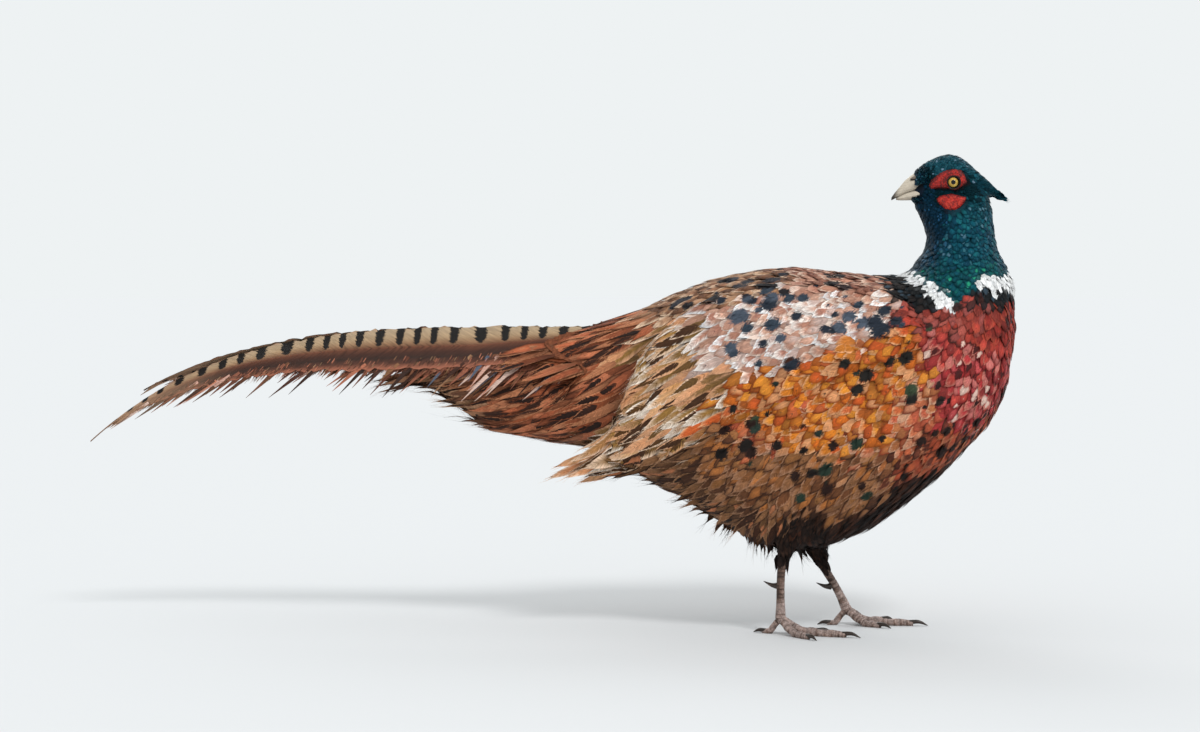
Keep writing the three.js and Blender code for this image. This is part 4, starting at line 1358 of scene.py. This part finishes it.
def living(name, grain, relief, mottle_and_grain_contrast, roughness, coat_weight=0.0):
    """Bare skin, scale or horn: its own colours with darker mottling, and rounded grains of one size in
    millimetres that stand out by the relief, each lighter in its middle and darker towards its rim."""
    material, tree, shader = new_material(name)
    ground = node(tree, "Attribute", output="Color", attribute_name="ground")
    place = node(tree, "TexCoord", output="Object")
    cells = node(tree, "TexVoronoi", {"Vector": place, "Scale": 1 / (grain * MM)}, "Distance")
    blotch = {"Vector": place, "Scale": 1 / (MOTTLE_SIZE * MM), "Detail": 4.0}
    blotch = node(tree, "TexNoise", blotch)
    light = node(tree, "MapRange", {0: cells, 1: 0.1, 2: 0.8, 3: 1.0 + mottle_and_grain_contrast, 4: 1.0 - mottle_and_grain_contrast})
    dark = node(tree, "MapRange", {0: blotch, 1: 0.35, 2: 0.65, 3: 1.0 - mottle_and_grain_contrast, 4: 1.0 + mottle_and_grain_contrast})
    both = node(tree, "Math", {0: light, 1: dark}, operation="MULTIPLY")
    colour = node(tree, "VectorMath", {0: ground, "Scale": both}, operation="SCALE")
    rounded = {0: cells, 1: 0.1, 2: 0.9, 3: 1.0, 4: 0.0}
    rounded = node(tree, "MapRange", rounded, interpolation_type="SMOOTHSTEP")
    bump = node(tree, "Bump", {"Strength": 0.8, "Distance": relief * MM, "Height": rounded})
    tree.links.new(colour, shader.inputs["Base Color"])
    tree.links.new(bump, shader.inputs["Normal"])
    shader.inputs["Roughness"].default_value = roughness
    shader.inputs["Specular IOR Level"].default_value = 0.25
    shader.inputs["Coat Weight"].default_value = coat_weight
    shader.inputs["Coat Roughness"].default_value = 0.25
    return material


def coloured(obj, colours):
    """Gives each point of a piece its own ground colour."""
    keep(obj.data, "ground", "FLOAT_COLOR", np.concatenate((colours, np.ones((len(colours), 1))), 1))
    return obj


def shaded(stops, share):
    """Colours at shares from 0 to 1, between stops that are pairs of share and hex colour."""
    places, codes = zip(*stops)
    table = tints(codes)
    return np.stack([np.interp(share, places, table[:, k]) for k in range(3)], -1)


def head_side(ahead, up):
    """Half width of the head at a place on its side."""
    top, bottom, half = (np.interp(-ahead, -HEAD_SECTIONS[:, 0], HEAD_SECTIONS[:, k]) for k in (1, 2, 3))
    share = np.clip(np.abs(up - (top + bottom) / 2) / ((top - bottom) / 2), 0, 0.985)
    return half * (1 - share**HEAD_SQUARENESS) ** (1 / HEAD_SQUARENESS)


FACE_RINGS = 40
FACE_AROUND = 120
OPENING = np.array((4.5, 4.1))  # half width and half height between the lids
FACE_SPREAD = 1.07  # the patch runs under the feathers round it
FACE_RED = ((0, "4a0c0c"), (0.35, "8a1612"), (0.7, "b4241a"), (1, "cc3c2a"))
FACE_BLACK = "0d0f12"

# Swollen bare skin, with fine bumps that catch a soft light, and only a trace of moist shine
wattle_skin = living("bare_wattle_skin", 1.0, 0.4, 0.3, 0.5, 0.08)


def face_patch(side_name, side):
    """The bare red face: lids round the eye, a dark line of tiny feathers, and two swollen lobes."""
    angle = np.linspace(0, 2 * math.pi, FACE_AROUND, endpoint=False)
    turn = np.stack((np.cos(angle), np.sin(angle)), -1)
    outline = FACE_MIDDLE + FACE_HALF * FACE_SPREAD * (1 + FACE_LOBES * np.cos(3 * angle))[:, None] * turn
    start = EYE_FLAT + OPENING * turn
    share = np.linspace(0, 1, FACE_RINGS) ** 1.25
    flat = start[None] + (outline - start)[None] * share[:, None, None]
    ahead, up = flat[..., 0], flat[..., 1]
    t = share[:, None]
    away = np.linalg.norm(flat - EYE_FLAT, axis=-1)
    within = np.maximum(in_lobe(flat, UPPER_LOBE), in_lobe(flat, LOWER_LOBE))
    red = np.maximum(eased(within, -0.5, 0.9), eased(within, -3, 0) * (1 - eased(away, 5.4, 6.8)))
    lower = 1 - eased(up, -12, -10)
    swell = (0.9 + 0.9 * lower) * eased(within, 0.0, 3.2)
    sag = 2.2 * red * (1 - eased(up, -24, -13))  # the lower lobe hangs free of the cheek
    grain = 0.16 * np.sin(ahead * 5.1 + 1.7 * np.sin(up * 3.3))
    grain = grain * np.sin(up * 5.7 + 1.3 * np.sin(ahead * 2.9))
    round_lid = eased(t, 0.05, 0.2) * (1 - eased(t, 0.35, 0.6))
    creases = 0.22 * np.sin(away * 2.6 + np.sin(angle * 5)[None]) * round_lid
    lid = 1.0 * np.exp(-(((away - 5.5) / 0.7) ** 2))
    rough = red * (grain * eased(t, 0.1, 0.3) + creases)
    sunk = 2.4 * (1 - red) * eased(away, 5, 7) + 2.4 * eased(t, 0.9, 1.0)
    y = head_side(ahead, up) + 0.35 + swell + sag + lid + rough - sunk
    y[0] = EYE_MIDDLE[1] + 1.6
    y[1] = EYE_MIDDLE[1] + 3.2
    local = np.stack((ahead, side * y, up), -1)
    patch = from_form(f"bare_face_{side_name}", lofted(from_head(local), closed=False))
    uneven = 0.2 * np.sin(ahead * 0.7 + up * 0.4)
    uneven = uneven + 0.16 * np.sin(up * 1.1 - ahead * 0.5) * np.sin(ahead * 1.3)
    tint = np.clip(0.08 + swell * 0.34 + grain * 2.2 + uneven - creases * 0.6, 0, 1)
    black = tints([FACE_BLACK])[0]
    rim = (1 - eased(away, 5.3, 6.1))[..., None]
    colours = black + (shaded(FACE_RED, tint) - black) * red[..., None] ** 1.5
    colours = colours * (1 - rim) + black * rim
    coloured(patch, colours.reshape(-1, 3))
    return finish(patch, wattle_skin, (f"wattle_{side_name}",))


def eye_finish():
    """Living eye: an amber iris round a black pupil, under a wet clear cornea that mirrors the light."""
    material, tree, shader = new_material("wet_amber_eye")
    gaze = node(tree, "Attribute", output="Vector", attribute_name="gaze")
    beside, above, _ = node(tree, "SeparateXYZ", {0: gaze}).node.outputs
    flat = node(tree, "CombineXYZ", {0: beside, 1: above})
    away = node(tree, "VectorMath", {0: flat}, "Value", operation="LENGTH")
    ray = node(tree, "VectorMath", {0: flat}, operation="NORMALIZE")
    streak = node(tree, "TexNoise", {"Vector": ray, "Scale": 9.0, "Detail": 3.0})
    iris = node(tree, "ValToRGB", {0: streak})
    inner, outer = iris.node.color_ramp.elements
    inner.position, inner.color = 0.35, linear("a87c2a")
    outer.position, outer.color = 0.68, linear("e2c468")
    ring = node(tree, "MapRange", {0: away, 1: 0.66, 2: 0.8}, interpolation_type="SMOOTHSTEP")
    colour = node(tree, "Mix", {0: ring, 6: iris, 7: linear("2a140c")}, 2, data_type="RGBA")
    pupil = {0: away, 1: 0.33, 2: 0.37, 3: 1.0, 4: 0.0}
    pupil = node(tree, "MapRange", pupil, interpolation_type="SMOOTHSTEP")
    colour = node(tree, "Mix", {0: pupil, 6: colour, 7: linear("050505")}, 2, data_type="RGBA")
    tree.links.new(colour, shader.inputs["Base Color"])
    shader.inputs["Roughness"].default_value = 0.25
    shader.inputs["Specular IOR Level"].default_value = 0.0
    shader.inputs["Coat Weight"].default_value = 1.0
    shader.inputs["Coat Roughness"].default_value = 0.02
    shader.inputs["Coat IOR"].default_value = CORNEA_IOR
    return material


wet_eye = eye_finish()


def eye(side_name, side):
    """An eyeball with its bulging cornea, turned a little ahead."""
    form = bmesh.new()
    bmesh.ops.create_uvsphere(form, u_segments=48, v_segments=32, radius=1)
    directions = np.array([v.co[:] for v in form.verts])
    away = np.linalg.norm(directions[:, :2], axis=1)
    bulge = 1 + 0.05 * (directions[:, 2] > 0) * (1 - eased(away, 0.0, 0.8))
    gaze = unit(np.array((0.08, side, 0.02)))
    beside = unit(np.cross((0, 0, 1), gaze))
    above = np.cross(gaze, beside)
    middle = EYE_MIDDLE * (1, side, 1)
    local = middle + EYE_RADIUS * bulge[:, None] * (directions @ np.stack((beside, above, gaze)))
    for vert, point in zip(form.verts, from_head(local)):
        vert.co = point
    bmesh.ops.recalc_face_normals(form, faces=form.faces)
    ball = from_form(f"eyeball_{side_name}", form)
    keep(ball.data, "gaze", "FLOAT_VECTOR", np.where(directions[:, 2:] > 0, directions, (1.0, 0.0, 0.0)))
    return finish(ball, wet_eye, (f"eye_{side_name}",))


UPPER_BILL = (  # distance ahead, top, bottom and half width
    (15, 9, -5.6, 3),
    (20, 9, -6.2, 6.6),
    (28, 7.4, -7.6, 5.7),
    (36.5, 1.0, -10.2, 4.2),
    (41.5, -4.8, -12.4, 3.0),
    (45.5, -9.6, -14.4, 1.8),
    (48.3, -13.6, -15.8, 0.25),
)
LOWER_BILL = (
    (15, -5.2, -12, 3),
    (20, -5.6, -13.4, 5.8),
    (29, -7.1, -15.4, 4.6),
    (36.5, -9.3, -15.8, 3.1),
    (41.5, -11.7, -15.8, 1.8),
    (44.5, -13.6, -15.4, 0.3),
)
GAPE = ((15, 29, 36.5, 45), (-5.4, -7.4, -9.8, -14))  # distance ahead, and height of the cutting edge
BILL_COLOURS = ("c4b8a6", "3a322d", "20242b")  # along its sides, at its tip and at its root
# The flap's colours from its lower side, dark with painted shade, to its pale top
FLAP_COLOURS = ((0, "15110f"), (1, "6f6257"))

# Smooth bill horn, which mirrors the light softly as if it were waxed
bill_horn = living("smooth_bill_horn", 0.5, 0.02, 0.06, 0.32, 0.3)

# The flap's horn is duller and has a fine grain
nostril_horn = living("nostril_horn", 0.6, 0.05, 0.12, 0.45)


def smooth_through(stations, count):
    """Rows between stations, on smooth curves through them all."""
    stations = np.array(stations, float)
    knots = np.arange(len(stations))
    slopes = np.gradient(stations, axis=0)
    u = np.linspace(0, len(stations) - 1, count)
    i = np.minimum(u.astype(int), len(stations) - 2)
    t = (u - knots[i])[:, None]
    a, b, m, n = stations[i], stations[i + 1], slopes[i], slopes[i + 1]
    return a + m * t + (3 * (b - a) - 2 * m - n) * t**2 + (m + n - 2 * (b - a)) * t**3


def bill_half(name, stations, node_name, keel):
    """One half of the bill, with a ridge along its top or bottom, and painted shade that darkens a line
    along its cutting edge.
    """
    rows = smooth_through(stations, 34)
    angle = np.linspace(0, 2 * math.pi, 28, endpoint=False)
    rings = []
    for ahead, top, bottom, half in rows:
        rise = np.sin(angle) * keel
        ridge = 1 - 0.22 * np.clip(rise, 0, 1) ** 2 * np.abs(np.cos(angle)) * 2
        y = max(half, 0.2) * np.cos(angle) * ridge
        z = (top + bottom) / 2 + max((top - bottom) / 2, 0.2) * np.sin(angle)
        rings.append(from_head(np.stack((np.full_like(y, ahead), y, z), -1)))
    half_bill = from_form(name, lofted(rings))
    local = to_head(positions(half_bill.data))
    ahead, up = local[:, 0], local[:, 2]
    pale, tip, base = tints(BILL_COLOURS)
    sharp = eased(ahead, 40, 47)[:, None] ** 1.5
    root = ((1 - eased(ahead + 0.9 * np.sin(up * 2.4), 27, 31.5)) * eased(up, -6.5, -4.5))[:, None]
    colours = pale * (1 - sharp) + tip * sharp
    colours = colours * (1 - root) + base * root
    cutting_edge = np.interp(ahead, *GAPE)
    # Painted shade: a dark line along the cutting edge, where the two halves of the bill meet; the
    # streaks below are the horn's own
    painted_gape_shade = np.exp(-(((up - cutting_edge) / 0.5) ** 2))[:, None]
    streak = (1 + 0.1 * np.sin(up * 3.1 + ahead * 0.6)[:, None]) * (1 - 0.5 * painted_gape_shade)
    coloured(half_bill, colours * streak)
    return finish(half_bill, bill_horn, (node_name,))


def nostril(side_name, side):
    """The horny flap over a nostril, darker on its lower side with painted shade where the nostril opens
    beneath it.
    """
    form = bmesh.new()
    bmesh.ops.create_uvsphere(form, u_segments=20, v_segments=12, radius=1)
    for vert in form.verts:
        x, y, z = vert.co
        local = (29.5 + 4.2 * x - 0.6 * z, side * (4.6 + 1.5 * y), 2.2 + 2.0 * z - 0.8 * x)
        vert.co = from_head(np.array(local))
    bmesh.ops.recalc_face_normals(form, faces=form.faces)
    flap = from_form(f"nostril_flap_{side_name}", form)
    up = to_head(positions(flap.data))[:, 2]
    # Painted shade: the flap darkens towards its lower side, over the nostril opening
    coloured(flap, shaded(FLAP_COLOURS, eased(up, 0.6, 2.2)))
    return finish(flap, nostril_horn)


BASE_FEATHERS = (  # stations, count, least and most distance ahead, least and most angle round it
    (UPPER_BILL, 300, 22.0, 31.0, -0.25, 1.5),
    (LOWER_BILL, 160, 24.0, 33.0, -1.5, -0.5),
)


def bill_base_feathers(side_name, side):
    """Short dark feathers that grow over the base of the bill and hide where it leaves the skin."""
    roots, normals_there = [], []
    for stations, count, start, end, lowest, highest in BASE_FEATHERS:
        table = np.array(stations, float)
        ahead = chance.uniform(start, end, count)
        angle = chance.uniform(lowest, highest, count)
        top, bottom, half = (np.interp(ahead, table[:, 0], table[:, k]) for k in (1, 2, 3))
        tall = (top - bottom) / 2
        beside, height = side * half * np.cos(angle), (top + bottom) / 2 + tall * np.sin(angle)
        local = np.stack((ahead, beside, height), -1)
        outward = np.stack((0.2 + 0 * ahead, side * np.cos(angle) / half, np.sin(angle) / tall), -1)
        roots.append(from_head(local))
        normals_there.append(from_head(unit(outward), place=False))
    root, up = np.concatenate(roots), unit(np.concatenate(normals_there))
    count = len(root)
    back = from_head(np.array((-1.0, 0.0, 0.05)), place=False) + 0.12 * chance.standard_normal((count, 3))
    way = unit(back - up * (back * up).sum(1)[:, None])
    like = np.isin(everything["home"], [NAMES.index(name) for name in ("crown", "throat", "cheek")])
    like = chance.choice(np.flatnonzero(like), count)
    lot = {key: values[like] for key, values in everything.items()}
    lot["root"] = root
    lot["length"] = chance.uniform(3.6, 5.2, count)
    lot["half"] = chance.uniform(0.8, 1.2, count)
    lot["rise"] = np.full(count, 0.35)
    lines = root[:, None] + way[:, None] * (lot["length"][:, None] * STATIONS)[..., None]
    ups = np.broadcast_to(up[:, None], lines.shape)
    sides = np.broadcast_to(unit(np.cross(up, way))[:, None], lines.shape)
    piece = coat(f"bill_base_feathers_{side_name}", lot, lines, ups, sides, on_skin(root)[2], each=3)
    return finish(piece, feather["head"])


bill_half("bill_upper_horn", UPPER_BILL, "bill_upper", 1)
bill_half("bill_lower_horn", LOWER_BILL, "bill_lower", -1)
for side_name, side in SIDES:
    face_patch(side_name, side)
    eye(side_name, side)
    nostril(side_name, side)
    bill_base_feathers(side_name, side)


# Legs and feet

LEGS = (
    dict(
        name="right",
        inward=1,
        shank=(
            (187, -31, 64, 3.7), (185.6, -31, 52, 3.3),
            (185, -31, 40, 3.2), (185, -31, 26, 3.4),
            (185, -31, 13, 4.3),
        ),
        spur=(185, -31, 42),
        yaw=-16,
    ),
    dict(
        name="left",
        inward=-1,
        shank=(
            (217, 31, 52, 3.7), (222, 31, 43, 3.3),
            (227, 31, 35, 3.2), (233, 31, 24, 3.4),
            (238, 31, 13, 4.3),
        ),
        spur=(227, 31, 35),
        yaw=-2,
    ),
)
TOES = (  # name, turn from the middle toe in degrees, length, radius and length of the claw
    ("middle", 0, 54, 3.3, 13),
    ("inner", 30, 32, 3.0, 11),
    ("outer", -36, 37, 3.0, 11),
    ("hind", 172, 15, 2.4, 9),
)
SHANK_SCUTE = 3.4
TOE_SCUTE = 2.7
TOE_PADS = 0.22  # how far the pads swell, as a share of the radius
PAD_SPACING = 11
FACING_AHEAD = (1, 0, 0.01)
FACING_UP = (0, 0, 1)
LEG_COLOURS = ((0, "3a2820"), (0.3, "70594e"), (0.6, "948078"), (1, "a89690"))
CLAW_COLOURS = ((0, "4a3c34"), (0.4, "2a211c"), (1, "382d26"))

# Dry scaled skin, nearly matt, with grains between the scutes that break up the light
leg_skin = living("scaled_leg_skin", 1.2, 0.2, 0.35, 0.55)

# Smooth claw horn with a low shine
claw_horn = living("claw_horn", 0.5, 0.02, 0.08, 0.35, 0.2)


def limb_rings(points, rows, around, scute, front, swell=0.0):
    """Rings along a path of x, y, z and radius, and their tints. Overlapping scutes, if any, are on the
    front, and pads behind."""
    path = smooth_through(points, rows)
    way = unit(np.gradient(path[:, :3], axis=0))
    along = np.concatenate(((0,), np.linalg.norm(np.diff(path[:, :3], axis=0), axis=1).cumsum()))
    front = np.array(front, float)
    beside = unit(np.cross(way, front))
    ahead = unit(np.cross(beside, way))
    angle = np.linspace(0, 2 * math.pi, around, endpoint=False)
    facing = np.cos(angle)
    rings, tone = [], []
    for i in range(rows):
        phase = along[i] / scute % 1 if scute else 0.0
        step = 0.09 * phase * np.clip(facing + 0.2, 0, 1)
        beat = 0.5 + 0.5 * math.cos(along[i] / PAD_SPACING * 2 * math.pi)
        pad = swell * np.clip(-facing, 0, 1) * beat
        r = path[i, 3] * (1 + step + pad)
        outward = facing[:, None] * ahead[i] + np.sin(angle)[:, None] * beside[i]
        rings.append(path[i, :3] + r[:, None] * outward)
        # The tone of each ring: darker in the groove at the start of each scute, lighter on the side that
        # faces front, darker in bands that are heavier on the far side, and darker higher up
        groove = min(phase * 3, 1) if scute else 1.0
        darker_behind_and_higher = 0.6 * max(math.sin(along[i] / 6.3 + path[i, 0]), 0) ** 2 * (0.6 - 0.4 * facing)
        darker_behind_and_higher = darker_behind_and_higher + 0.55 * float(eased(path[i, 2], 24, 52))
        lighter_in_front = 0.2 + 0.6 * groove * (0.65 + 0.35 * np.clip(facing, 0, 1))
        tone.append(lighter_in_front - darker_behind_and_higher + 0.12 * chance.random(around))
    return rings, np.concatenate(tone)


def joined(name, limbs, stops):
    """One piece from several closed limbs, none below the floor, coloured by their tints."""
    whole = bmesh.new()
    for rings, _ in limbs:
        part = lofted(rings)
        for vert in part.verts:
            vert.co.z = max(vert.co.z, 0.0)
        held = bpy.data.meshes.new("held")
        part.to_mesh(held)
        part.free()
        whole.from_mesh(held)
        bpy.data.meshes.remove(held)
    piece = from_form(name, whole)
    return coloured(piece, shaded(stops, np.concatenate([tone for _, tone in limbs])))


def toe_and_claw(foot, yaw, length, radius, claw):
    """Rings of a toe and of its claw, from the end of the shank."""
    low = radius - 0.5

    def at(distance, z, thick):
        return foot[0] + distance * math.cos(yaw), foot[1] + distance * math.sin(yaw), z, thick

    toe_path = (
        at(0.5, 12.5, radius * 1.05),
        at(min(7, length * 0.3), low + 6.2, radius * 1.0),
        at(min(15, length * 0.55), low + 1.6, radius * 0.98),
        at(length * 0.62, low - 0.2, radius * 0.86),
        at(length * 0.8, low - 0.1, radius * 0.9),
        at(length + 1, low - 0.6, radius * 0.6),
    )
    claw_path = (
        at(length - 2, low + 0.2, 1.9),
        at(length + claw * 0.45, low + 0.5, 1.5),
        at(length + claw, 0.5, 0.3),
    )
    toe_limb = limb_rings(toe_path, max(int(length * 1.3), 22), 18, TOE_SCUTE, FACING_UP, TOE_PADS)
    return toe_limb, limb_rings(claw_path, 14, 12, None, FACING_UP)


for leg in LEGS:
    name, inward, shank = leg["name"], leg["inward"], leg["shank"]
    limbs = [limb_rings(shank, 60, 20, SHANK_SCUTE, FACING_AHEAD)]
    claws = []
    for _, turn, *sizes in TOES:
        toe_limb, claw_limb = toe_and_claw(shank[-1], math.radians(leg["yaw"] + inward * turn), *sizes)
        limbs.append(toe_limb)
        claws.append(claw_limb)
    x, y, z = leg["spur"]
    spur_path = (
        (x - 2, y + inward * 1.5, z - 3, 2.9),
        (x - 7, y + inward * 3.5, z - 2.6, 1.7),
        (x - 13.8, y + inward * 5, z + 0.3, 0.25),
    )
    claws.append(limb_rings(spur_path, 14, 12, None, FACING_UP))
    foot_nodes = [f"shank_{name}"] + [f"toe_{toe[0]}_{name}" for toe in TOES]
    finish(joined(f"leg_and_toes_{name}", limbs, LEG_COLOURS), leg_skin, foot_nodes)
    claw_nodes = [f"spur_{name}"] + [f"claw_{toe[0]}_{name}" for toe in TOES]
    finish(joined(f"claws_and_spur_{name}", claws, CLAW_COLOURS), claw_horn, claw_nodes)


# Floor, light and camera

form = bmesh.new()
bmesh.ops.create_circle(form, cap_ends=True, segments=96, radius=14000)
floor = from_form("floor", form)
# Matt paper, which takes the soft shadow and gives no shine
paper, _, shader = new_material("matt_paper_floor")
shader.inputs["Base Color"].default_value = linear("d8d9da")
shader.inputs["Roughness"].default_value = 1.0
shader.inputs["Specular IOR Level"].default_value = 0.0
floor.data.materials.append(paper)

world = bpy.data.worlds.new("studio")
bpy.context.scene.world = world
world.use_nodes = True
world.node_tree.nodes["Background"].inputs["Color"].default_value = linear("eef2f3")
world.node_tree.nodes["Background"].inputs["Strength"].default_value = 1.0


def soft_light(name, toward, spread_deg, strength):
    """A wide soft light from far off, which shines the way that toward points."""
    lamp = bpy.data.lights.new(name, "SUN")
    lamp.angle = math.radians(spread_deg)
    lamp.energy = strength
    obj = bpy.data.objects.new(name, lamp)
    bpy.context.scene.collection.objects.link(obj)
    obj.rotation_euler = Vector(toward).to_track_quat("-Z", "Y").to_euler()


soft_light("key_light", (-0.45, 0.75, -0.85), 14, 1.3)
soft_light("back_light", (0.3, -0.8, -0.7), 30, 0.5)

lens = bpy.data.cameras.new("camera")
lens.lens = 85
lens.sensor_width = 36
camera = bpy.data.objects.new("camera", lens)
bpy.context.scene.collection.objects.link(camera)
CAMERA_PLACE = Vector((0.2383, -2.3123, 0.3163))
CAMERA_AIM = Vector((0.036, 0.0, 0.215))
camera.location = CAMERA_PLACE
camera.rotation_euler = (CAMERA_AIM - CAMERA_PLACE).to_track_quat("-Z", "Y").to_euler()
bpy.context.scene.camera = camera
bpy.context.scene.view_settings.view_transform = "Standard"
